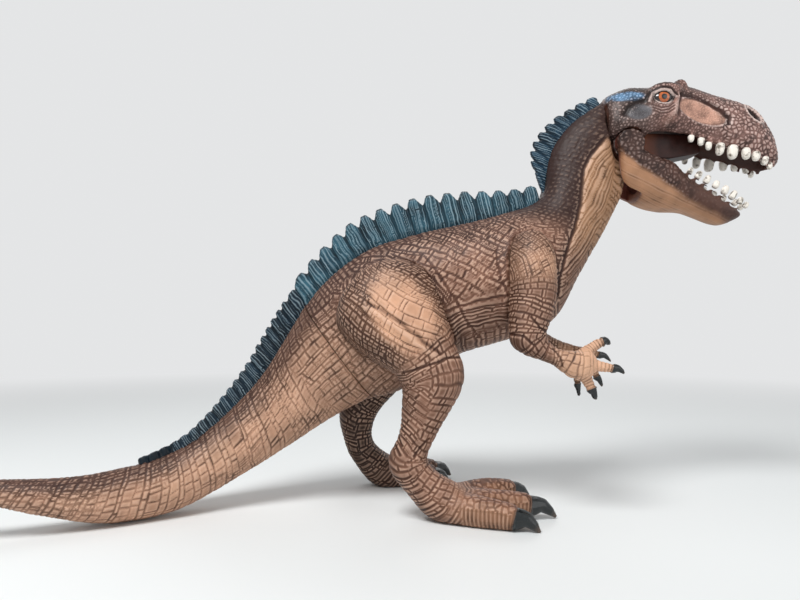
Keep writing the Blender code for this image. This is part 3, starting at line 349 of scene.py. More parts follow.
# Toes and fingers: root, knuckle, end of the flesh, claw tip
DIGITS = {
    "right_leg": (
        ((19, -18.5, 4), (29, -22.5, 4), (38.5, -26, 3.5), (44.5, -28.5, 0)),
        ((21, -16, 4.5), (33, -15.5, 4.5), (44.5, -15.5, 4), (52.5, -15.5, 0.5)),
        ((21, -13.5, 5), (31, -8.5, 6), (41, -5.5, 5.5), (47, -4, 2)),
    ),
    "left_leg": (
        ((2, 23.5, 4), (11.5, 23.5, 4.5), (18.5, 23.5, 4), (24, 23.5, 0.5)),
        ((3, 26, 4), (12, 30, 4.5), (19, 33.5, 4), (25.5, 36.5, 1)),
        ((1.5, 27, 4), (7, 34, 4), (10.5, 38, 3.5), (13.5, 41.5, 0.5)),
    ),
    "right_arm": (
        ((59, -19, 48), (62.5, -17.5, 50.5), (66.5, -17, 52.5), (69, -16.5, 51.5)),
        ((59.5, -19.5, 45.5), (64, -20.5, 45.5), (68, -21, 44.5), (71.5, -21.5, 43)),
        ((59, -19.5, 44), (61, -19.5, 41), (62, -20, 38.5), (63.5, -20, 35.5)),
    ),
    "left_arm": (
        ((73.5, 27.5, 47.5), (77, 28, 48), (80, 28, 47), (84.5, 28, 44.5)),
        ((73.5, 26.5, 45), (77, 26, 42), (78.5, 25.5, 39), (80.5, 25.5, 35.5)),
        ((71.5, 26, 44.5), (72, 25.5, 40), (72, 25, 36.5), (73, 25, 32)),
    ),
}
LINE_STEPS = 12


def curve_through(points):
    """Closely spaced points on a smooth curve through the given ones, in metres."""
    rows = np.array(points, float) * MM
    padded = np.vstack((2 * rows[0] - rows[1], rows, 2 * rows[-1] - rows[-2]))
    curve = []
    for a, b, c, d in zip(padded, padded[1:], padded[2:], padded[3:]):
        for t in np.arange(LINE_STEPS) / LINE_STEPS:
            bend = (2 * a - 5 * b + 4 * c - d) * t ** 2 + (3 * b - a - 3 * c + d) * t ** 3
            curve.append(0.5 * (2 * b + (c - a) * t + bend))
    return np.array(curve + [rows[-1]])


def along(points, line):
    """For each point: distance along a centre line, angle round it, and distance from it."""
    curve = curve_through(line)
    tangent = np.gradient(curve, axis=0)
    tangent /= np.linalg.norm(tangent, axis=1)[:, None]
    run = np.concatenate(([0], np.cumsum(np.linalg.norm(np.diff(curve, axis=0), axis=1))))
    nearest = np.empty(len(points), int)
    for part in np.array_split(np.arange(len(points)), 1 + len(points) // 20000):
        nearest[part] = np.argmin(((points[part, None] - curve[None]) ** 2).sum(2), axis=1)
    gap = points - curve[nearest]
    ahead = tangent[nearest]
    step = (gap * ahead).sum(1)
    side = np.array((0.0, 1.0, 0.0)) - ahead * ahead[:, 1:2]
    side /= np.linalg.norm(side, axis=1)[:, None]
    top = np.cross(ahead, side)
    off = gap - ahead * step[:, None]
    return run[nearest] + step, np.arctan2((off * side).sum(1), (off * top).sum(1)), np.linalg.norm(off, axis=1)


def girth(u, radius):
    """The mean radius at each place along a line, smoothed."""
    bins = np.clip(((u - u.min()) / (2 * MM)).astype(int), 0, None)
    count = np.bincount(bins)
    mean = np.bincount(bins, radius) / np.maximum(count, 1)
    centres = u.min() + (np.arange(len(mean)) + 0.5) * 2 * MM
    real = count > 0
    mean = np.interp(centres, centres[real], mean[real])
    mean = np.convolve(np.pad(mean, 3, mode="edge"), np.full(7, 1 / 7), "valid")
    return np.interp(u, centres, mean)


def round_about(piece, points, line):
    """Distance along a limb, angle away from its top, way round it and its girth, evened out over the skin."""
    u, angle, radius = along(points, line)
    u, turn, radius = relaxed(piece, np.column_stack((u, np.abs(angle), radius)), 0.5, 10).T
    wide = girth(u, radius)
    return u, turn, turn * wide, wide


TAIL_LENGTH = np.linalg.norm(np.diff(curve_through(LINES["tail"]), axis=0), axis=1).sum()


def hip_net(points):
    """A net set in the plane of the picture, and how far past the tail's end a point is.

    The torso and the tail share it, so that the cracks run on over their seam.
    """
    bend = warp(points, (0.8, 9, 3), (0.3, 2.5, 4))
    run = 0.74 * points[:, 0] + 0.67 * points[:, 2] + bend
    rise = 0.74 * points[:, 2] - 0.67 * points[:, 0] + 0.7 * bend
    net = np.minimum(bricks(run, rise, 3.4 * MM, 2.4 * MM, 8), bricks(run, rise, 2.2 * MM, 1.4 * MM, 9) + 0.22 * MM)
    return net, along(points, LINES["tail"])[0] - TAIL_LENGTH


print("centre lines:", ", ".join(LINES))

# %% [markdown]
# ## One smooth core under all the skins
# On the real figure the thigh runs into the back without a step: the joint between the two mouldings is a hairline.
# So the six body solids are grown by 0.35 mm, which closes the fitting gaps, remeshed together and smoothed. That
# core is a guide only. Each skin is drawn onto it, apart from its hidden walls, which are told by their direction:
# the way to the core runs along a hidden wall, and straight out of an outer face.

# %% The core
BODY = ("torso", "tail", "right_leg", "left_leg", "right_arm", "left_arm")
CORE_VOXEL = 1.2 * MM
GROWTH = 0.35 * MM
WALL_CLOSING = 0.12 * MM
core = remeshed("core", BODY, CORE_VOXEL, GROWTH)
core_points = places(core)
core_radius = np.min([along(core_points, line)[2] for line in LINES.values()], axis=0)
core_points = relaxed(core, core_points, 0.12 + 0.45 * smooth(core_radius, 4 * MM, 11 * MM), 11)
put(core, core_points)
put(core, places(core) - normals(core) * GROWTH)
step = core.modifiers.new("rounder", "SUBSURF")
step.levels = step.render_levels = 1
settle(core)
print("core faces:", len(core.data.polygons))


def drawn_on(piece, pull=1.0):
    """Draw a piece onto the core, and say where it lies outside: 1 on the outside, 0 on hidden walls."""
    start = places(piece)
    facing = normals(piece)
    step = piece.modifiers.new("onto the core", "SHRINKWRAP")
    step.target = core
    step.wrap_method = "NEAREST_SURFACEPOINT"
    shrunk = piece.evaluated_get(bpy.context.evaluated_depsgraph_get())
    reached = numbers(shrunk.to_mesh().vertices, "co", 3).astype(float)
    shrunk.to_mesh_clear()
    piece.modifiers.clear()
    move = reached - start
    far = np.linalg.norm(move, axis=1)
    straight = np.abs((move * facing).sum(1)) / np.maximum(far, 1e-9)
    outside = smooth(straight, 0.45, 0.75) * (1 - smooth(far, 2.4 * MM, 3.2 * MM))
    outside = np.maximum(outside, 1 - smooth(far, 0.15 * MM, 0.35 * MM))
    outside = np.clip(relaxed(piece, outside[:, None], 0.5, 2)[:, 0], 0, 1)
    points = start + move * (outside * pull)[:, None] + facing * (WALL_CLOSING * (1 - outside))[:, None]
    points = relaxed(piece, points, 0.5 * outside, 3)
    put(piece, points)
    return points, outside


# %% [markdown]
# ## Paint
# The real coat is sprayed in layers over tan vinyl. Each layer here is a mask from 0 to 1 and a colour, laid over the
# last, and the sum is stored as a colour at each vertex. Some layers are painted shade and painted highlights, put
# where light falls or does not. The material adds what the brush and the wash do.

# %% Paint helpers


def paint_of(code):
    """An sRGB hex colour as linear numbers."""
    parts = [int(code[i:i + 2], 16) / 255 for i in (1, 3, 5)]
    return [part / 12.92 if part <= 0.04045 else ((part + 0.055) / 1.055) ** 2.4 for part in parts] + [1.0]


def coat(piece, base, layers):
    """Spray colours over a base and store the result at each vertex."""
    colour = np.tile(paint_of(base), (len(piece.data.vertices), 1))
    for mask, code in layers:
        share = np.clip(np.broadcast_to(mask, len(colour)), 0, 1)[:, None]
        colour += (np.array(paint_of(code)) - colour) * share
    held = piece.data.color_attributes.new("paint", "FLOAT_COLOR", "POINT")
    held.data.foreach_set("color", colour.astype(np.float32).ravel())


def relief_of(piece):
    """How far each vertex stands above its surroundings, in millimetres."""
    points = places(piece)
    return ((points - relaxed(piece, points, 0.5, 8)) * normals(piece)).sum(1) / MM


def add(tree, kind, inputs, **settings):
    """Add a node with its settings, and set or link its inputs."""
    made = tree.nodes.new(kind)
    for name, value in settings.items():
        setattr(made, name, value)
    for socket, value in inputs.items():
        if isinstance(value, bpy.types.NodeSocket):
            tree.links.new(value, made.inputs[socket])
        else:
            made.inputs[socket].default_value = value
    return made


def new_material(name):
    material = bpy.data.materials.new(name)
    material.use_nodes = True
    material.node_tree.nodes.clear()
    return material, material.node_tree


def stored(tree, name):
    """A number that is kept at each vertex."""
    return add(tree, "ShaderNodeAttribute", {}, attribute_name=name).outputs["Fac"]


def clouds(tree, size, detail):
    """Soft noise that is fixed to the piece."""
    place = add(tree, "ShaderNodeTexCoord", {}).outputs["Object"]
    return add(tree, "ShaderNodeTexNoise", {"Vector": place, "Scale": 1 / size, "Detail": detail}).outputs["Fac"]


def ranged(tree, value, low=0.0, high=1.0, start=0.0, end=1.0):
    """Start where a value is at low or under, end where it is at high or over, and an even change between."""
    return add(tree, "ShaderNodeMapRange", {
        "Value": value, "From Min": low, "From Max": high, "To Min": start, "To Max": end,
    }).outputs[0]


def computed(tree, operation, first, second):
    return add(tree, "ShaderNodeMath", {0: first, 1: second}, operation=operation).outputs[0]


def blended(tree, share, first, second):
    """One colour where share is 0 and the other where it is 1."""
    return add(tree, "ShaderNodeMix", {0: share, 6: first, 7: second}, data_type="RGBA").outputs[2]


def surfaced(tree, inputs):
    """End a material with its surface."""
    shader = add(tree, "ShaderNodeBsdfPrincipled", inputs)
    add(tree, "ShaderNodeOutputMaterial", {"Surface": shader.outputs[0]})


# %% [markdown]
# ## Painted vinyl
# Soft vinyl has an index of refraction near 1.53 and a satin face. The paint over it holds a matting agent, so the
# coat reflects about half of what bare vinyl does. A dark wash fills the cracks, a pale dry brush catches ridges, and a
# fine grain from the mould breaks up the shine.

# %% Painted vinyl
VINYL_IOR = 1.53
BARE, MATTED = 0.5, 0.22
GLOSSY = 0.18
GRAIN = 0.35 * MM
MOTTLE = 5 * MM


def painted_vinyl(name, wash, brush, line=(0.04, 0.34), wash_share=0.95, brush_share=0.5, roughness=0.5):
    material, tree = new_material(name)
    coat_colour = add(tree, "ShaderNodeAttribute", {}, attribute_name="paint").outputs["Color"]
    edge, relief, gloss = [stored(tree, field) for field in ("edge", "relief", "gloss")]
    mottle = clouds(tree, MOTTLE, 4.0)
    uneven = ranged(tree, mottle, 0.3, 0.7, 0.82, 1.14)
    tinted = add(tree, "ShaderNodeVectorMath", {0: coat_colour, "Scale": uneven}, operation="SCALE").outputs[0]
    # The line's width wavers a little, as a wash does
    waver = computed(tree, "MULTIPLY", edge, mottle)
    cracks = ranged(tree, waver, line[0] / 2, line[1] / 2, wash_share, 0.0)
    hollows = ranged(tree, relief, -0.11, -0.01, wash_share, 0.0)
    wiped = ranged(tree, mottle, 0.35, 0.65, 1.0, 0.6)
    dark = computed(tree, "MULTIPLY", computed(tree, "MAXIMUM", cracks, hollows), wiped)
    washed = blended(tree, dark, tinted, paint_of(wash))
    ridges = ranged(tree, relief, 0.006, 0.07, 0.0, brush_share)
    brushed = blended(tree, computed(tree, "MULTIPLY", ridges, uneven), washed, paint_of(brush))
    grain = clouds(tree, GRAIN, 3.0)
    bump = add(tree, "ShaderNodeBump", {"Strength": 0.35, "Distance": 0.12 * MM, "Height": grain})
    surfaced(tree, {
        "Base Color": blended(tree, gloss, brushed, coat_colour), "IOR": VINYL_IOR, "Normal": bump.outputs[0],
        "Roughness": ranged(tree, gloss, 0.0, 1.0, roughness, GLOSSY),
        "Specular IOR Level": ranged(tree, gloss, 0.0, 1.0, MATTED, BARE),
    })
    return material


SKIN_VINYL = painted_vinyl("painted vinyl skin", "#2C1209", "#E6C0A8")
print("material:", SKIN_VINYL.name)


def finished(piece, body, material, nodes=()):
    """Give a piece its material, smooth shading and body, and hide the solids that it stands for."""
    piece.data.materials.clear()
    piece.data.materials.append(material)
    piece.data.shade_smooth()
    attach(piece, body)
    if nodes:
        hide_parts(*nodes)
    print(piece.name, "faces:", len(piece.data.polygons))


def inside(points):
    """Hold points within the box of the plain solids."""
    low, high = np.array(cad_box)
    return np.clip(points, low, high)


def store(piece, edge, move, gloss=0.0, brush=1.0):
    """Keep what the material reads: crack distance and relief in millimetres, and where the coat is glossy.

    The share for the brush says how much of the pale dry brush a place gets.
    """
    carved = (move - relaxed(piece, move[:, None], 0.5, 8)[:, 0]) / MM
    hollow = np.minimum(relief_of(piece) - carved, 0)
    keep(piece, "edge", edge / MM)
    relief = (carved + 0.5 * hollow) * (1 - gloss)
    keep(piece, "relief", np.where(relief > 0, relief * brush, relief))
    keep(piece, "gloss", gloss)


# %% [markdown]
# ## Torso and neck
# Slanting bricks on the flanks, pebbles along the ridge and up the neck, long folds under the throat and belly, and a
# few deep creases where the limbs fold the skin. The back and the neck are sprayed dark, and the throat is left tan.

# %% Torso and neck
HIP_Y = 4.1 * MM
FLANK_DEPTH = -13 * MM
NECK_START = 88 * MM
THROAT_EDGE = (
    (607, 136), (593, 153), (584, 169), (582, 186), (580, 206), (573, 228), (565, 251), (558, 273), (553, 300),
)
FLANK_CREASES = (
    ((424, 254), (440, 276), (455, 300), (468, 322), (480, 338)),
    ((497, 250), (496, 262), (500, 280), (508, 300), (510, 322)),
    ((556, 250), (560, 270), (561, 292), (556, 312)),
)
torso = remeshed("torso_skin", ["torso"], TORSO_SQUARE)
p, outside = drawn_on(torso)
u, turn, v, _ = round_about(torso, p, LINES["torso"])
neck = smooth(u, NECK_START - 10 * MM, NECK_START + 4 * MM)
throat_x = np.array([spot(column, row, -6 * MM) for column, row in THROAT_EDGE[::-1]])
throat = smooth(p[:, 0] - np.interp(p[:, 2], throat_x[:, 2], throat_x[:, 0]), -0.5 * MM, 1.2 * MM)
throat *= smooth(p[:, 2], 62 * MM, 74 * MM) * smooth(turn, 0.9, 1.2)
top_of_throat = spot(*THROAT_EDGE[0], -6 * MM).z
throat *= 1 - smooth(p[:, 2] + 1.5 * MM * noise(p, 4 * MM, 27), top_of_throat - 3 * MM, top_of_throat + 1 * MM)
hips, past = hip_net(p)
ahead = smooth(past, 4 * MM, 14 * MM)
belly = smooth(turn, 1.6, 2.0) * (1 - neck) * ahead
ridge = 1 - smooth(turn + 0.15 * noise(p, 6 * MM, 10), 0.32, 0.7)
slant = warp(p, (0.8, 8, 11), (0.3, 2.5, 12))
level = warp(p, (0.8, 8, 13), (0.3, 2.5, 14))
down, back = (u + 0.95 * v) / 1.38 + slant, (u - 0.95 * v) / 1.38 + level
fine_hide = (0.06 + 0.25 * smooth(noise(p, 8 * MM, 17), -0.4, 0.5)) * MM
flank = np.minimum(bricks(down, back, 3.2 * MM, 2.5 * MM, 15), bricks(down, back, 1.8 * MM, 1.3 * MM, 16) + fine_hide)
scales = bricks(v + 0.8 * level, u + 0.8 * slant, 1.8 * MM, 1.5 * MM, 18, 0.6)
bend = warp(p, (0.7, 5, 19), (0.3, 2, 20))
folds = bricks(u + slant, v + bend, (9 + 12 * neck) * MM, 1.25 * MM, 21, 0.8, 0.35)
ring = thigh_ring(p) + 0.02 * noise(p, 5 * MM, 25)
near_thigh = (1 - smooth(ring, 1.10, 1.50)) * smooth(turn, 0.45, 0.8)
wraps = bricks(u + 2 * slant, 11.7 * MM * ring + 0.4 * level, 4 * MM, 1.3 * MM, 24)
small = np.clip(neck + ridge, 0, 1)
long_folds = np.clip(throat + belly, 0, 1)
edge = both(both(flank, wraps, near_thigh), hips, 1 - ahead)
edge = both(edge, scales, small)
bands = bricks(v + bend, u + slant, 5 * MM, 1.8 * MM, 28)
edge = both(edge, both(folds + 0.05 * MM * throat, bands, smooth(turn, 2.2, 2.6)), long_folds)
creases = np.max([crease(p, line, FLANK_DEPTH, 0.35 * MM) for line in FLANK_CREASES], axis=0) * smooth(turn, 0.7, 1.0)
shade = np.max([crease(p, line, FLANK_DEPTH, 2.6 * MM) for line in FLANK_CREASES], axis=0) * smooth(turn, 0.6, 1.0)
groove = crease(p, THROAT_EDGE, -6 * MM, 0.6 * MM) * smooth(turn, 0.9, 1.2)
behind_throat = crease(p, THROAT_EDGE, -6 * MM, 2.4 * MM) * (1 - throat)
move = valley(edge, 0.26 - 0.08 * small) + 0.14 * MM * noise(p, 7 * MM, 22) - (0.2 * creases + 0.4 * groove) * MM
# Where the jaw's back swings against the throat, the skin keeps clear of it
move -= 0.4 * MM * smooth(p[:, 0], 70 * MM, 75 * MM) * smooth(p[:, 2], 88 * MM, 95 * MM)
move = move * outside
put(torso, inside(p + normals(torso) * move[:, None]))
store(torso, edge * (1 - 0.7 * creases) * (1 - groove), move, 0, 1 - 0.7 * neck * (1 - throat) - 0.3 * ridge)
dark_back = 1 - smooth(turn + 0.2 * noise(p, 9 * MM, 23), 0.45, 1.5)
coat(torso, "#7F5A49", (
    (0.45 * smooth(noise(p, 10 * MM, 26), 0, 0.8), "#A57E6A"),
    # Painted shade: darker towards the underside
    (0.6 * smooth(turn, 1.4, 2.0), "#6C4D3E"),
    (0.85 * (1 - ahead), "#98735D"),
    (0.5 * shade, "#5E3D30"),
    # Darker round the thigh: airbrushed paint, and painted shade where the thigh meets the flank
    (0.85 * (1 - smooth(ring, 1.0, 1.45)) * smooth(turn, 0.4, 0.9), "#4C3023"),
    (0.94 * dark_back, "#432B24"),
    (0.96 * neck * (1 - throat), "#2C1B18"),
    (0.8 * behind_throat, "#2E1B18"),
    (0.9 * throat * smooth(p[:, 2], 74 * MM, 90 * MM), "#A27A5A"),
    (0.6 * throat * (1 - smooth(p[:, 2], 66 * MM, 88 * MM)), "#735340"),
    # Painted shade: darker still on the underside, apart from the throat
    (0.5 * smooth(turn, 2.3, 2.9) * (1 - throat), "#5E463A"),
))
finished(torso, "figure", SKIN_VINYL, ["torso"])

# %% [markdown]
# ## Tail
# Rings go round it and lines run along it, so the bricks lie straight. They get smaller towards the tip.

# %% Tail
TAIL_ROWS = 19
tail = remeshed("tail_skin", ["tail"], TAIL_SQUARE)
_, _, radius = along(places(tail), LINES["tail"])
p, outside = drawn_on(tail, 0.35 + 0.65 * smooth(radius, 2.5 * MM, 6 * MM))
u, turn, v, wide = round_about(tail, p, LINES["tail"])
root = smooth(u, 138 * MM, 165 * MM)
# The pitch of the rows follows the girth, and rings are counted along a line with the same pitch
pitch = np.clip(wide * 2 * math.pi / TAIL_ROWS, 1.5 * MM, 3.0 * MM)
around = v + warp(p, (0.6, 8, 31), (0.25, 2.5, 32))
lengthwise = u + 0.3 * v + warp(p, (0.6, 8, 33), (0.25, 2.5, 34))
order = np.argsort(u)[::200]
stations = u[order]
counted = np.concatenate(([0], np.cumsum(np.diff(stations) / pitch[order][1:])))
beyond = lengthwise - np.clip(lengthwise, stations[0], stations[-1])
ring_at = np.interp(lengthwise, stations, counted) + beyond / pitch
rows_at = around / pitch
veil = 0.2 * MM / pitch
net = bricks(rows_at * MM, ring_at * MM, MM, 0.95 * MM, 35, 0.7, veil) * pitch / MM
fine = bricks(ring_at * MM, rows_at * MM, 0.6 * MM, 0.5 * MM, 36, 0.7, veil) * pitch / MM
sides = np.minimum(net, fine + (0.1 + 0.3 * smooth(noise(p, 8 * MM, 37), -0.5, 0.4)) * MM)
hips, past = hip_net(p)
sides = both(sides, hips, smooth(past, -20 * MM, -8 * MM) * smooth(turn, 0.5, 0.8))
folds = bricks(u, around + 0.5 * MM * noise(p, 4 * MM, 38), 10 * MM, 1.8 * MM, 39)
thigh_shade = 1 - smooth(thigh_ring(p), 1.1, 1.5)
edge = both(sides, folds, smooth(turn, 1.9, 2.3) * root)
OPEN_SEAM = ((319, 327), (328, 335), (338, 341))
seam = crease(p, OPEN_SEAM, -12 * MM, 0.4 * MM) * (p[:, 1] < 0)
move = valley(edge, 0.24) + 0.12 * MM * noise(p, 7 * MM, 40) - 0.7 * MM * seam
move = move * outside
put(tail, inside(p + normals(tail) * move[:, None]))
store(tail, edge * (1 - seam), move, 0, 0.6 + 0.4 * smooth(turn, 0.5, 1.2))
tip = 1 - smooth(u, 0, 80 * MM)
coat(tail, "#B88E74", (
    (0.4 * smooth(noise(p, 10 * MM, 43), 0, 0.8), "#C29C80"),
    (0.95 * (1 - smooth(turn + 0.2 * noise(p, 8 * MM, 41), 0.6, 1.6)), "#432A21"),
    (0.7 * tip, "#60433A"),
    # Painted shade: darker on the underside
    (0.3 * smooth(turn, 1.9, 2.6), "#8A6853"),
    (0.85 * smooth(past, -25 * MM, -6 * MM) * smooth(turn, 0.8, 1.5), "#98735D"),
    # Darker near the thigh: airbrushed paint, and painted shade where the thigh meets the tail
    (0.6 * root * thigh_shade, "#5E4134"),
    (0.9 * seam, "#10201F"),
))
finished(tail, "figure", SKIN_VINYL, ["tail"])

# %% [markdown]
# ## Legs and arms
# The thigh has the largest plates, cut on the slant, and rings run round shank and forearm. Toes and fingers have
# close rings, and end in smooth black claws with worn pale tips. The claws are part of the moulding, so they stay in
# the same mesh and only change their coat.

# %% Legs and arms
LIMBS = {
    "right_leg": dict(voxel=0.34, thick=27, base="#CE9E80", low="#6D4B3C", foot="#634435"),
    # The far leg here and the far arm below get darker coats than the near ones: painted shade on the side turned from
    # the light
    "left_leg": dict(voxel=0.36, thick=27, base="#5E4232", low="#261812", foot="#402D25"),
    "right_arm": dict(voxel=0.27, thick=12, base="#B88D72", low="#6C4B3D", foot="#D6A98A"),
    "left_arm": dict(voxel=0.28, thick=12, base="#98745E", low="#6E5041", foot="#A98266"),
}
RING_PITCH = {"leg": 1.15 * MM, "arm": 1.05 * MM}
LEG_CREASES = (
    ((403, 373), (424, 366), (444, 359), (464, 356)),
    ((389, 428), (398, 436), (402, 446)), ((386, 440), (396, 447), (400, 456)), ((428, 440), (420, 448), (414, 456)),
)
THIGH_FOLD = ((366, 308), (382, 318), (402, 331), (420, 345), (436, 358))
ARM_CREASES = (
    ((530, 318), (538, 328), (548, 333)), ((512, 334), (522, 336), (532, 344)), ((552, 348), (558, 356), (560, 366)),
)


def digit_fields(points, digits, pitch):
    """The distance to a toe's rings, and how much a point is on a toe, on its claw and on the claw's tip."""
    rows = []
    for digit in digits:
        length, _, radius = along(points, digit)
        parts = np.linalg.norm(np.diff(np.array(digit, float) * MM, axis=0), axis=1)
        rows.append((radius, length, np.full(len(points), parts[:2].sum()), np.full(len(points), parts.sum())))
    table = np.array(rows)
    pick = np.argmin(table[:, 0], axis=0)
    radius, length, flesh, whole = [table[pick, k, np.arange(len(points))] for k in range(4)]
    on_digit = smooth(length, 0.12 * flesh, 0.45 * flesh)
    claw = smooth(length, flesh - 0.5 * MM, flesh - 0.2 * MM)
    tip = smooth(length, flesh + 0.66 * (whole - flesh), whole)
    return np.abs(length / pitch - np.round(length / pitch)) * pitch, on_digit, claw, tip


for name, how in LIMBS.items():
    leg = name.endswith("leg")
    limb = remeshed(name + "_skin", [name], how["voxel"] * MM)
    p = places(limb)
    rings, on_digit, claw, tip = digit_fields(p, DIGITS[name], RING_PITCH[name[-3:]])
    u = along(p, LINES[name])[0]
    reach = u.max()
    foot = smooth(u, reach - 38 * MM, reach - 22 * MM) if leg else smooth(u, 40 * MM, 50 * MM)
    p, outside = drawn_on(limb, 1 - foot)
    outside = np.maximum(outside, foot)
    p = relaxed(limb, p, 0.5 * foot * (1 - claw), 8)
    put(limb, p)
    u, turn, v, _ = round_about(limb, p, LINES[name])
    facing = normals(limb)
    near = p[:, 1] < LINES[name][4][1] * MM
    seed = 50 + 20 * list(LIMBS).index(name)
    warp_u = warp(p, (0.7, 7, seed), (0.25, 2.5, seed + 1))
    warp_v = warp(p, (0.7, 7, seed + 2), (0.25, 2.5, seed + 3))
    upper = 1 - smooth(u, how["thick"] * MM, (how["thick"] + 8) * MM)
    rim = thigh_ring(p) if leg else np.zeros(len(p))
    if leg:
        down, across = u - 0.75 * v + warp_u, 0.75 * u + v + warp_v
        large = bricks(down, across, 4.4 * MM, 3.3 * MM, seed + 4)
        fine = bricks(down, across, 2.1 * MM, 1.4 * MM, seed + 5)
        plates = np.minimum(large, fine + (0.04 + 0.4 * (1 - smooth(rim, 0.35, 0.75))) * MM)
        front = bricks(v + warp_v, u + warp_u, 2.5 * MM, 2.1 * MM, seed + 6)
        rear = bricks(v + warp_v, u + 0.25 * v + warp_u, 4.5 * MM, 1.2 * MM, seed + 7, 0.75, 0.3)
        bands = both(front, rear, np.clip(smooth(turn, 1.3, 1.9) + foot, 0, 1))
        scutes = pebbles(p * (1, 1, 0.4), 1.9 * MM, 0.6, seed + 8) + 0.08 * MM
        on_top = on_digit * smooth(facing[:, 2], 0.35, 0.65)
    else:
        down, across = u - 0.45 * v + warp_u, 0.45 * u + v + warp_v
        large = bricks(down, across, 2.7 * MM, 2.1 * MM, seed + 4)
        fine = bricks(down, across, 1.6 * MM, 1.2 * MM, seed + 5)
        plates = np.minimum(large, fine + 0.14 * MM)
        bands = bricks(v + warp_v, u + warp_u, 2.3 * MM, 1.5 * MM, seed + 6)
        scutes, on_top = rings, 0 * on_digit
    edge = both(plates, bands, 1 - upper)
    edge = both(edge, both(rings + 0.1 * MM, scutes, on_top), on_digit)
    creases = np.zeros(len(p))
    for line in {"right_leg": LEG_CREASES, "right_arm": ARM_CREASES}.get(name, ()):
        creases = np.maximum(creases, crease(p, line, -20 * MM, 0.4 * MM) * near)
    fold = crease(p, THIGH_FOLD, -22 * MM, 1.1 * MM) * near * (name == "right_leg")
    above_fold = crease(p, [(c + 3, r - 5) for c, r in THIGH_FOLD], -22 * MM, 0.7 * MM) * near * (name == "right_leg")
    move = valley(edge, 0.24 - 0.08 * foot) * (1 - claw) - 0.3 * MM * creases + 0.3 * MM * claw * (1 - tip)
    move += 0.4 * MM * fold - 0.25 * MM * above_fold + 0.12 * MM * noise(p, 7 * MM, seed + 9) * upper
    move += 0.2 * MM * on_top * (1 - claw)
    move = move * outside
    put(limb, inside(p + facing * move[:, None]))
    store(limb, edge * (1 - 0.8 * creases) + MM * claw, move, claw)
    top = 1 - smooth(u, 2 * MM, 15 * MM)
    # Painted shade on the backs and the undersides of the legs and arms
    behind = smooth(-facing[:, 0] - 0.3 * facing[:, 2], 0.1, 0.9) * (1 - foot)
    coat(limb, how["base"], (
        (0.4 * smooth(noise(p, 9 * MM, seed + 10), 0, 0.8) * upper, "#CDA080"),
        # The thigh's rim and the faces turned back are darker: airbrushed paint, and painted shade where the rounded
        # thigh turns from the light
        (0.85 * smooth(rim + 0.3 * smooth(-facing[:, 0], 0, 0.6), 0.6, 0.95) * upper * leg, "#42271B"),
        (0.8 * top * (1 - 0.4 * leg), "#4E342B"),
        (0.9 * (1 - upper) * (1 - 0.6 * foot), how["low"]),
        (0.9 * foot, how["foot"]),
        (0.6 * behind, "#3E281E"),
        # A painted highlight along the raised fold on the thigh, and painted shade in the groove above it
        (0.35 * fold, "#D3A687"),
        (0.5 * above_fold, "#4A2E23"),
        (0.5 * creases, "#2E1810"),
        (0.3 * on_top, "#7A4E3E"),
        # A painted highlight on the sides of the toes that face -Y, towards the key lamp
        (0.3 * on_digit * smooth(-facing[:, 1], 0.2, 0.8) * leg, "#B48766"),
        (claw, "#0D1416"),
        (0.6 * tip, "#6B5648"),
    ))
    finished(limb, "figure", SKIN_VINYL, [name])

# %% [markdown]
# ## Crest plates
# The strips are moulded in blue-green vinyl and dry-brushed with pale grey, which leaves light streaks on the fine
# ridges that run up each plate. The dry brush misses the gaps between the plates, which are darkened with painted
# shade.

# %% Crest plates
CREST_VINYL = painted_vinyl("painted vinyl crest", "#020A12", "#B4C9D2", (0.04, 0.26), 0.92, 0.6, 0.42)
BACK_LINE = LINES["torso"][:7] + ((60, 4, 79.5), (72, 4, 83))
for name, voxel in (("crest_back", 0.26), ("crest_neck", 0.24), ("crest_tail", 0.24)):
    strip = remeshed(name + "_skin", [name], voxel * MM)
    p = relaxed(strip, places(strip), 0.5, 3)
    put(strip, p)
    line = {"crest_back": BACK_LINE, "crest_neck": LINES["torso"], "crest_tail": LINES["tail"]}[name]
    u, angle, radius = along(p, line)
    aside = radius * np.abs(np.sin(angle))
    if name != "crest_neck":
        # Where the two strips meet, their last plates lean together
        end = smooth(u, u.max() - 4 * MM, u.max()) if name == "crest_tail" else smooth(-u, -u.min() - 4 * MM, -u.min())
        p[:, (0, 2)] += np.outer(end, np.array((0.72, 0.69)) * MM * (1.7 if name == "crest_tail" else -1.2))
    gaps = 1 - smooth(aside / girth(u, aside), 0.55, 1.2)
    streak = u + 0.3 * MM * noise(p, 2.5 * MM, 71) + 0.12 * MM * noise(p, 0.9 * MM, 72)
    edge = bricks(radius, streak, 90 * MM, 0.75 * MM, 73, 0.6, 0.1)
    sides = smooth(np.abs(normals(strip)[:, 1]), 0.1, 0.5)
    move = valley(edge, 0.12, 0.24)
    put(strip, inside(p + normals(strip) * move[:, None]))
    store(strip, edge, move, 0, 1.5 - 1.4 * gaps)
    coat(strip, {"crest_back": "#366171", "crest_neck": "#16394F", "crest_tail": "#0A1E2C"}[name], (
        (0.3 + 0.4 * noise(p, 6 * MM, 74), "#0F3042"),
        # Painted shade in the gaps between the plates
        (0.85 * gaps * sides, "#04141E"),
    ))
    finished(strip, "figure", CREST_VINYL, [name])
bpy.data.objects.remove(core)

# %% [markdown]
# ## Skull
# It gets the most care: pebbled scales, the large opening before the eye with its dark upper rim, lids, nostrils and
# lips. The plain solid's teeth are pegs of the same moulding. They are drawn back into the lip here, because the
# painted teeth below are rounder and stand where the picture has them.

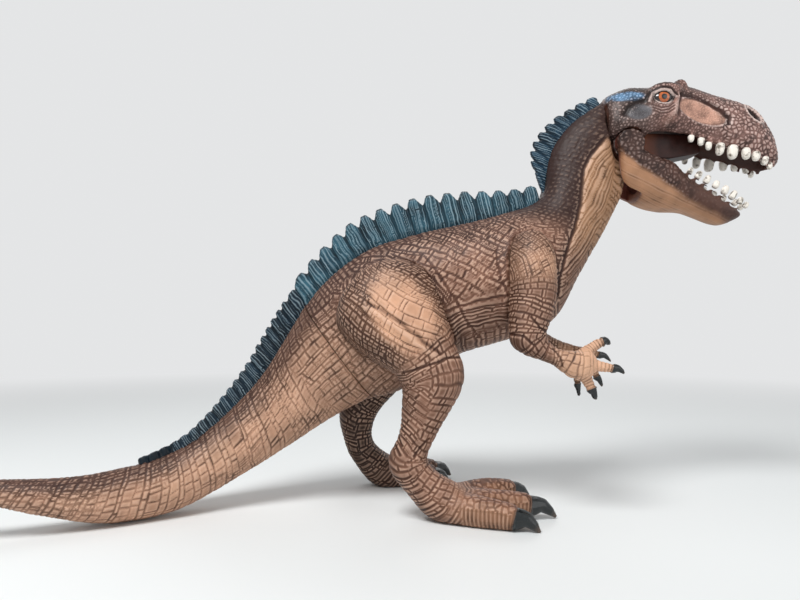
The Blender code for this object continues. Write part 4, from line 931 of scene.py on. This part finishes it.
# %% Skull
HEAD_VINYL = painted_vinyl("painted vinyl head", "#1A0B08", "#EBD3CA", (0.03, 0.27), 0.88, 0.65, 0.42)
PIVOT = Vector((81.02, 4.1, 117.19)) * MM
# The lip lines: X and Z in millimetres
UPPER_LIP = (
    (75, 119), (83, 117.5), (88, 119.5), (93, 119.5), (99, 119), (105, 117.5), (111, 115.5), (117, 114), (123, 112.5),
    (127, 110.5), (130.5, 110.5), (132.5, 111), (133, 113),
)
LOWER_LIP = (
    (85, 117), (88.5, 115), (92, 114), (96, 112.5), (100, 108), (104, 105.5), (110, 101.5), (114, 99), (117.5, 96.5),
    (120, 95.5),
)


def lip_at(x, lip):
    table = np.array(lip) * MM
    return np.interp(x, table[:, 0], table[:, 1])


def toothless(piece, lip, sign, start):
    """Draw teeth back into the lip that they stand on: sign is -1 where they hang and 1 where they stand."""
    points = places(piece)
    out = sign * (points[:, 2] - lip_at(points[:, 0], lip))
    moved = np.where((out > 0.2 * MM) & (points[:, 0] > start), out - 0.2 * MM, 0)
    if sign > 0:
        # The tongue and the trough lie inside the row of teeth and stay
        moved *= np.abs(points[:, 1] - HIP_Y) > 2.2 * MM
    points[:, 2] -= sign * moved
    near = smooth(out, -0.6 * MM, 0) * (points[:, 0] > start)
    return relaxed(piece, points, 0.5 * near, 6)


skull = remeshed("skull_skin", ["skull"], HEAD_SQUARE)
p = toothless(skull, UPPER_LIP, -1, 96 * MM)
from_pivot = np.hypot(p[:, 0] - PIVOT.x, p[:, 2] - PIVOT.z)
p = relaxed(skull, p, 0.1 + 0.4 * smooth(from_pivot, 6 * MM, 9 * MM), 22)
put(skull, p)
n = normals(skull)
side = smooth(np.abs(n[:, 1]), 0.2, 0.5)
outer = smooth((p[:, 1] - HIP_Y) * n[:, 1] / MM, -0.5, 1.0)
outer = np.maximum(outer, smooth(n[:, 2], 0.25, 0.5) * (p[:, 2] > 121 * MM))
PANEL_TOP = ((682, 94), (692, 95), (703, 98), (714, 102.5), (723, 109), (730, 117), (729, 122))
panel = 1 - smooth(ellipse(p, 702.5, 111.5, 28, 14, 17), 0.82, 1.0)
panel_top = crease(p, PANEL_TOP, -5 * MM, 0.9 * MM) * side
PANEL_FRONT_OF_EYE = ((681, 94), (678, 104), (676, 116))
front_ridge = crease(p, ((676, 97), (673.5, 106), (671, 115), (664, 124)), -5 * MM, 1.3 * MM) * side
front_crease = crease(p, PANEL_FRONT_OF_EYE, -5 * MM, 0.5 * MM) * side
EYE = (662.5, 98.0)
eye = ellipse(p, *EYE, 9.0, 6.0, 4, -6 * MM)
socket = (1 - smooth(eye, 0.75, 1.05)) * side
lid = crease(p, ((649, 101), (653, 93.5), (660, 90.5), (669, 91.5), (674.5, 97)), -6 * MM, 0.7 * MM) * side
lid_crease = crease(p, ((647, 97), (652, 90), (660, 87), (670, 88), (677, 94)), -6 * MM, 0.5 * MM) * side
lower_lids = np.zeros(len(p))
for k in (0, 3, 6):
    line = ((651, 105 + k), (658, 108.5 + k), (666, 107.5 + k), (672, 104 + k))
    lower_lids = np.maximum(lower_lids, crease(p, line, -6 * MM, 0.32 * MM) * side)
NOSTRIL = (753.5, 115, 9, 5, 46)
off_middle = smooth(np.abs(p[:, 1] - HIP_Y), 1.2 * MM, 2.4 * MM)
nostril = (1 - smooth(ellipse(p, *NOSTRIL, -1 * MM), 0.75, 1.1)) * off_middle
nostril_rim = np.exp(-((ellipse(p, *NOSTRIL, -1 * MM) - 1.35) / 0.2) ** 2) * off_middle
temple = (1 - smooth(ellipse(p, 637, 113, 13, 9.5, -6), 0.8, 1.1)) * side
temple_arc = crease(p, ((625, 113), (629, 105.5), (636, 101), (645, 100)), -6 * MM, 1.0 * MM) * side
snout = smooth(p[:, 0], 100 * MM, 118 * MM)
coarse = pebbles(p, 1.5 * MM, 0.8, 81)
medium = pebbles(p, 1.0 * MM, 0.85, 82)
fine = pebbles(p, 0.6 * MM, 0.9, 83)
edge = both(medium, coarse, snout)
soft = np.clip(np.maximum(panel, temple) + lid + lower_lids + front_ridge, 0, 1)
edge = edge * (1 - soft) + (fine + 0.13 * MM) * soft
move = 0.15 * np.minimum(edge / (0.42 * MM), 1)
move += 0.5 * front_ridge + 0.5 * lid - 0.35 * lid_crease - 0.3 * lower_lids - 0.4 * front_crease
move += side * (-0.55 * panel - 1.0 * socket - 0.25 * temple) - 0.7 * panel_top - 0.6 * temple_arc
move += -1.2 * nostril + 0.3 * nostril_rim
move = move * MM * outer
put(skull, inside(p + n * move[:, None]))
dents = np.clip(panel_top + lid_crease + front_crease + temple_arc, 0, 1)
store(skull, np.where(outer > 0.3, edge * (1 - dents), MM), move, 0, 0.45 + 0.55 * snout)
crown = smooth(n[:, 2], 0.25, 0.8)
rear = 1 - smooth(p[:, 0], 84 * MM, 92 * MM)
blue = np.clip(1 - smooth(ellipse(p, 627, 95, 19, 6.5, 3), 0.7, 1.1), 0, 1) * smooth(noise(p, 3 * MM, 84), -0.55, 0.1)
horns = np.zeros(len(p))
for column, row in ((674.6, 82), (682.3, 83.6)):
    horns = np.maximum(horns, 1 - smooth(ellipse(p, column, row, 5, 4, 0, HIP_Y), 0.7, 1.2))
coat(skull, "#967269", (
    (0.85 * crown * (1 - 0.4 * snout), "#41302C"),
    (0.75 * rear, "#4A4340"),
    # Painted shade: darker on the faces turned down
    (0.5 * smooth(-n[:, 2], 0.1, 0.7) * outer, "#6C4F49"),
    (0.9 * panel * side, "#C89A86"),
    (0.9 * panel_top, "#45211B"),
    (0.45 * front_ridge, "#A47A6A"),
    (0.8 * front_crease, "#5A3630"),
    (0.8 * temple, "#5C5E63"),
    (0.95 * temple_arc, "#0D0C0D"),
    (0.9 * blue, "#6E9CC4"),
    (lid_crease, "#120C0B"),
    (0.45 * lower_lids, "#2A1B19"),
    (0.6 * lid, "#3A2C29"),
    # A black outline round the eye, and painted shade under the upper lid
    (1 - smooth(eye, 1.1, 1.35), "#100B0A"),
    (1 - outer, "#3C2018"),
    (np.where(p[:, 0] < 97 * MM, 0.6, 0.0) * (1 - outer), "#7A4B38"),
    (nostril, "#060505"),
    # A painted highlight on the nostril's rim
    (0.75 * nostril_rim * outer, "#CDB9B0"),
    (0.85 * horns * outer, "#EADFD2"),
))
finished(skull, "figure", HEAD_VINYL, ["skull"])

# %% [markdown]
# ## Lower jaw
# Bumps run along its top and fade towards the chin, and below them the tan vinyl shows, with long fine scratches.

# %% Lower jaw
jaw = remeshed("lower_jaw_skin", ["lower_jaw"], HEAD_SQUARE)
p = toothless(jaw, LOWER_LIP, 1, 97 * MM)
from_pivot = np.hypot(p[:, 0] - PIVOT.x, p[:, 2] - PIVOT.z)
p = relaxed(jaw, p, 0.1 + 0.4 * smooth(from_pivot, 6 * MM, 9 * MM), 18)
put(jaw, p)
n = normals(jaw)
outer = smooth((p[:, 1] - HIP_Y) * n[:, 1] / MM, -0.5, 0.8)
outer = np.maximum(outer, smooth(-n[:, 2], 0.2, 0.5))
COAT_EDGE = ((600, 128), (625, 157), (657, 179), (689, 196), (715, 209), (745, 221))
border = np.array([spot(column, row, -5 * MM) for column, row in COAT_EDGE])
above = p[:, 2] - np.interp(p[:, 0], border[:, 0], border[:, 2])
dark_side = smooth(above + 0.5 * MM * noise(p, 3 * MM, 90), -1.2 * MM, 1.6 * MM)
bumps = pebbles(p, 1.5 * MM, 0.8, 91)
reach = np.abs(p[:, 1] - HIP_Y)
down_jaw = 0.89 * p[:, 0] - 0.456 * p[:, 2]
across = 0.456 * p[:, 0] + 0.89 * p[:, 2] + 0.5 * reach + 0.35 * MM * noise(p, 5 * MM, 92)
scratches = bricks(down_jaw, across, 60 * MM, 1.2 * MM, 93, 0.8, 0.4) + 0.05 * MM
edge = bumps * dark_side + scratches * (1 - dark_side)
fade = 1 - 0.6 * smooth(p[:, 0], 92 * MM, 106 * MM)
move = 0.2 * fade * np.minimum(edge / (0.45 * MM), 1) * dark_side
move -= 0.12 * np.exp(-((edge / (0.25 * MM)) ** 2)) * (1 - dark_side)
move -= 0.15 * (1 - smooth(p[:, 0], 84 * MM, 90 * MM))
move = move * MM * outer
put(jaw, inside(p + n * move[:, None]))
store(jaw, np.where(outer > 0.3, edge + 0.3 * MM * dark_side * (1 - fade), MM), move, 0, 1 - 0.7 * dark_side)
chin = 1 - smooth(ellipse(p, 742, 214, 17, 9, 20), 0.6, 1.2)
coat(jaw, "#AE8263", (
    (0.95 * dark_side, "#4A302A"),
    (0.7 * dark_side * (1 - smooth(p[:, 0], 84 * MM, 96 * MM)), "#4A3833"),
    (0.6 * chin, "#46302B"),
    (1 - outer, "#6B3A30"),
))
finished(jaw, "jaw", HEAD_VINYL, ["lower_jaw"])

# %% [markdown]
# ## Mouth lining
# Between the jaws, at the back of the mouth, the photograph shows a wall of painted flesh. It is taken to belong to
# the skull's moulding, and fills the space in front of the hinge block, narrow enough for the jaw to close round it.

# %% Mouth lining
FLESH, tree = new_material("painted flesh")
place = add(tree, "ShaderNodeTexCoord", {}).outputs["Object"]
forward = add(tree, "ShaderNodeSeparateXYZ", {0: place}).outputs["X"]
# Towards the front, deep between the jaws, the lining darkens to near black: painted shade
flesh = blended(tree, ranged(tree, forward, 83 * MM, 92 * MM), paint_of("#A9684C"), paint_of("#150806"))
some = computed(tree, "MULTIPLY", clouds(tree, 1.5 * MM, 3.0), 0.5)
surfaced(tree, {
    "Base Color": blended(tree, some, flesh, paint_of("#5A2E26")), "Roughness": 0.4, "IOR": VINYL_IOR,
    "Specular IOR Level": MATTED,
})

bm = bmesh.new()
bmesh.ops.create_cube(bm, size=1)
LINING_LONG, LINING_WIDE, LINING_HIGH = 23 * MM, 9.6 * MM, 8.5 * MM
LINING_MIDDLE = (95 * MM, HIP_Y, 117.2 * MM)
bmesh.ops.scale(bm, vec=(LINING_LONG, LINING_WIDE, LINING_HIGH), verts=bm.verts)
bmesh.ops.subdivide_edges(bm, edges=bm.edges, cuts=11, use_grid_fill=True)
for vert in bm.verts:
    ahead = vert.co.x / (LINING_LONG / 2)
    # The underside rises and the sides close in towards the front, and fine ribs stand on the sides
    vert.co.z += 2.4 * MM * max(ahead, 0) * (vert.co.z < 0)
    vert.co.y *= 1 - 0.36 * max(ahead, 0)
    vert.co.y += math.copysign(0.18 * MM, vert.co.y) * math.sin(vert.co.x / (0.35 * MM)) * (abs(vert.co.y) > 3 * MM)
bmesh.ops.translate(bm, vec=LINING_MIDDLE, verts=bm.verts)
lining = linked("mouth_lining", bm)
step = lining.modifiers.new("rounder", "SUBSURF")
step.levels = step.render_levels = 1
settle(lining)
finished(lining, "figure", FLESH)

# %% [markdown]
# ## Teeth
# Blunt pegs of ivory paint over vinyl. Each is a sphere drawn out and squared a little, set by its place in the
# picture and mirrored for the far row. The upper row sits in its lip. The lower row has a known fault: none of its 16
# teeth reaches the jaw, and they hang 0.3 to 2.7 mm off its skin.

# %% Teeth
IVORY, tree = new_material("ivory paint")
stained = ranged(tree, clouds(tree, 1.6 * MM, 4.0), 0.5, 0.66)
tooth_colour = blended(tree, stained, paint_of("#F0E9DF"), paint_of("#6E6458"))
surfaced(tree, {"Base Color": tooth_colour, "Roughness": 0.32, "IOR": 1.5})

# Each tooth: column and row of its middle, width and height, all in pixels of the picture
UPPER_TEETH = (
    (691, 138.5, 7, 8), (701, 141.5, 7.5, 9), (708.5, 146, 7, 9), (720, 149, 9.5, 14), (732.5, 152, 11.5, 16),
    (746, 153.5, 9.5, 13), (756, 156, 9, 11), (764.5, 160.5, 8.5, 10), (769.5, 166, 6, 8),
)
LOWER_TEETH = (
    (690, 171, 6.5, 8), (698.5, 175, 7.5, 9.5), (707, 179.5, 7.5, 10), (716, 184.5, 7.5, 9), (725, 190, 8, 10.5),
    (733, 195, 7.5, 11), (740, 200.5, 7, 8), (745.5, 205, 6.5, 7),
)
# The share of that width and height that is made, and the thickness in Y as a share of the width
TOOTH_SHARE, TOOTH_THICKNESS = 0.93, 0.85
# A ball has a squareness of 1, and a box one near 0
SQUARENESS = 0.7
UNEVEN_DEGREES = 7
# Where a lip's face is read: how near a point has to be, how far into the lip, and the Y where there is no point
LIP_WINDOW, LIP_DEPTH, NO_LIP = 0.9 * MM, 1.2 * MM, -1 * MM


def lip_face(points, x, z):
    """The Y of a piece's near face at a place seen from the side."""
    near = (np.abs(points[:, 0] - x) < LIP_WINDOW) & (np.abs(points[:, 2] - z) < LIP_WINDOW)
    return points[near, 1].min() if near.any() else NO_LIP


def tooth_row(name, teeth, jaw_piece, lip, sign, lean, sink, body):
    points = places(jaw_piece)
    uneven = random.Random(name)
    deepest = -1.0
    bm = bmesh.new()
    for column, row, wide, high in teeth:
        depth = -3 * MM
        for _ in range(3):
            centre = spot(column, row, depth)
            depth = lip_face(points, centre.x, lip_at(centre.x, lip) - sign * LIP_DEPTH) + sink
            if sign > 0:
                # The jaw narrows towards the chin, so no tooth stands further out than the one behind it
                deepest = depth = max(depth, deepest)
        centre = spot(column, row, depth)
        pixel = (spot(column + 1, row, depth) - centre).length
        for mirror in (1, -1):
            at = Vector((centre.x, HIP_Y + mirror * (centre.y - HIP_Y), centre.z))
            made = bmesh.ops.create_uvsphere(bm, u_segments=20, v_segments=14, radius=1)["verts"]
            for vert in made:
                # Squared ends and sides make a peg of the ball, a little wider at its root
                vert.co = [math.copysign(abs(part) ** SQUARENESS, part) for part in vert.co]
                vert.co.x *= 0.88 - 0.12 * sign * vert.co.z
            size = pixel / 2 * TOOTH_SHARE
            bmesh.ops.scale(bm, vec=(wide * size, wide * size * TOOTH_THICKNESS, high * size), verts=made)
            turned = lean + uneven.uniform(-UNEVEN_DEGREES, UNEVEN_DEGREES)
            bmesh.ops.rotate(bm, matrix=Matrix.Rotation(math.radians(turned), 3, "Y"), verts=made)
            bmesh.ops.translate(bm, vec=at, verts=made)
    piece = linked(name, bm)
    put(piece, inside(places(piece)))
    finished(piece, body, IVORY)


tooth_row("upper_teeth", UPPER_TEETH, skull, UPPER_LIP, -1, 4, 0.7 * MM, "figure")
# The lower row stands further in, so that it goes up inside the skull when the mouth shuts. It is set deeper along the
# ray through its pixel, which also moves it forwards and up, and that is why it hangs off the jaw
tooth_row("lower_teeth", LOWER_TEETH, jaw, LOWER_LIP, 1, 28, 1.6 * MM, "jaw")

# %% [markdown]
# ## Eyes
# Glossy painted balls: an orange iris, a black pupil and a clear coat over both.

# %% Eyes
EYE_PAINT, tree = new_material("glossy eye paint")
iris = stored(tree, "iris")
amber = blended(tree, clouds(tree, 0.5 * MM, 2.0), paint_of("#D8722E"), paint_of("#8E3F16"))
inner = blended(tree, ranged(tree, iris, 0.85, 1.0), paint_of("#050505"), amber)
whole = blended(tree, ranged(tree, iris, 1.6, 1.85), inner, paint_of("#140B08"))
surfaced(tree, {"Base Color": whole, "Roughness": 0.12, "Coat Weight": 0.6, "Coat Roughness": 0.03})

EYE_RADII = (3.0 * MM, 1.6 * MM, 2.1 * MM)
skull_points = places(skull)
eye_at = spot(*EYE, -6 * MM)
eye_at = spot(*EYE, lip_face(skull_points, eye_at.x, eye_at.z) + 0.6 * MM)
for name, sign in (("right_eye", 1), ("left_eye", -1)):
    bm = bmesh.new()
    bmesh.ops.create_uvsphere(bm, u_segments=48, v_segments=32, radius=1)
    bmesh.ops.scale(bm, vec=EYE_RADII, verts=bm.verts)
    bmesh.ops.translate(bm, vec=(eye_at.x, HIP_Y + sign * (eye_at.y - HIP_Y), eye_at.z), verts=bm.verts)
    ball = linked(name, bm)
    p = places(ball)
    keep(ball, "iris", np.hypot(p[:, 0] - eye_at.x, p[:, 2] - eye_at.z) / MM)
    finished(ball, "figure", EYE_PAINT)

# %% [markdown]
# ## The hinge pin
# Drawn steel wire: bright, with a roughness that wavers a little over it. It stays the solid that the frame has.

# %% Hinge pin
STEEL, tree = new_material("drawn steel wire")
rough = ranged(tree, clouds(tree, 0.4 * MM, 2.0), 0.0, 1.0, 0.22, 0.4)
surfaced(tree, {"Base Color": paint_of("#B9BABC"), "Metallic": 1.0, "Roughness": rough})
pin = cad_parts["jaw_hinge_pin"]
pin.data.materials.clear()
pin.data.materials.append(STEEL)

# %% [markdown]
# ## Floor, backdrop and light
# A pale floor, a pale world and soft lamps: the main one from the upper left and the front, as in the photograph.

# %% Stage
BACKDROP, BACKDROP_STRENGTH = "#F4F5F6", 0.86
LIGHT_STRENGTH = 0.32
LAMP_AIM = Vector((0.0, 0.0, 0.06))
FLOOR_PAINT, tree = new_material("pale table")
shader = add(tree, "ShaderNodeBsdfPrincipled", {"Base Color": paint_of("#ECEFEF"), "Roughness": 0.6})
# Far off, the camera sees the floor run into the pale backdrop
place = add(tree, "ShaderNodeTexCoord", {}).outputs["Object"]
far = add(tree, "ShaderNodeVectorMath", {0: place}, operation="LENGTH").outputs["Value"]
fade = add(tree, "ShaderNodeMapRange", {"Value": far, "From Min": 0.2, "From Max": 0.75},
           interpolation_type="SMOOTHSTEP")
seen = add(tree, "ShaderNodeLightPath", {}).outputs["Is Camera Ray"]
share = computed(tree, "MULTIPLY", fade.outputs[0], seen)
glow = add(tree, "ShaderNodeEmission", {"Color": paint_of(BACKDROP), "Strength": BACKDROP_STRENGTH})
mixed = add(tree, "ShaderNodeMixShader", {0: share, 1: shader.outputs[0], 2: glow.outputs[0]})
add(tree, "ShaderNodeOutputMaterial", {"Surface": mixed.outputs[0]})
bm = bmesh.new()
bmesh.ops.create_grid(bm, x_segments=1, y_segments=1, size=3)
floor = linked("floor", bm)
floor.data.materials.append(FLOOR_PAINT)

world = bpy.data.worlds.new("studio")
bpy.context.scene.world = world
world.use_nodes = True
tree = world.node_tree
tree.nodes.clear()
path = add(tree, "ShaderNodeLightPath", {})
seen = computed(tree, "MAXIMUM", path.outputs["Is Camera Ray"], path.outputs["Is Glossy Ray"])
strength = ranged(tree, seen, 0.0, 1.0, LIGHT_STRENGTH, BACKDROP_STRENGTH)
sky = add(tree, "ShaderNodeBackground", {"Color": paint_of(BACKDROP), "Strength": strength})
add(tree, "ShaderNodeOutputWorld", {"Surface": sky.outputs[0]})

for name, place, size, power in (
    ("key", (-0.16, -0.30, 0.52), 0.26, 3.0),
    ("fill", (0.42, -0.42, 0.22), 0.5, 0.6),
    ("rim", (0.1, 0.5, 0.5), 0.5, 0.9),
):
    lamp = bpy.data.objects.new(name, bpy.data.lights.new(name, "AREA"))
    lamp.data.shape = "DISK"
    lamp.data.size = size
    lamp.data.energy = power
    lamp.location = place
    aim = LAMP_AIM - Vector(place)
    lamp.rotation_euler = aim.to_track_quat("-Z", "Y").to_euler()
    bpy.context.scene.collection.objects.link(lamp)
bpy.context.scene.view_settings.view_transform = "Standard"
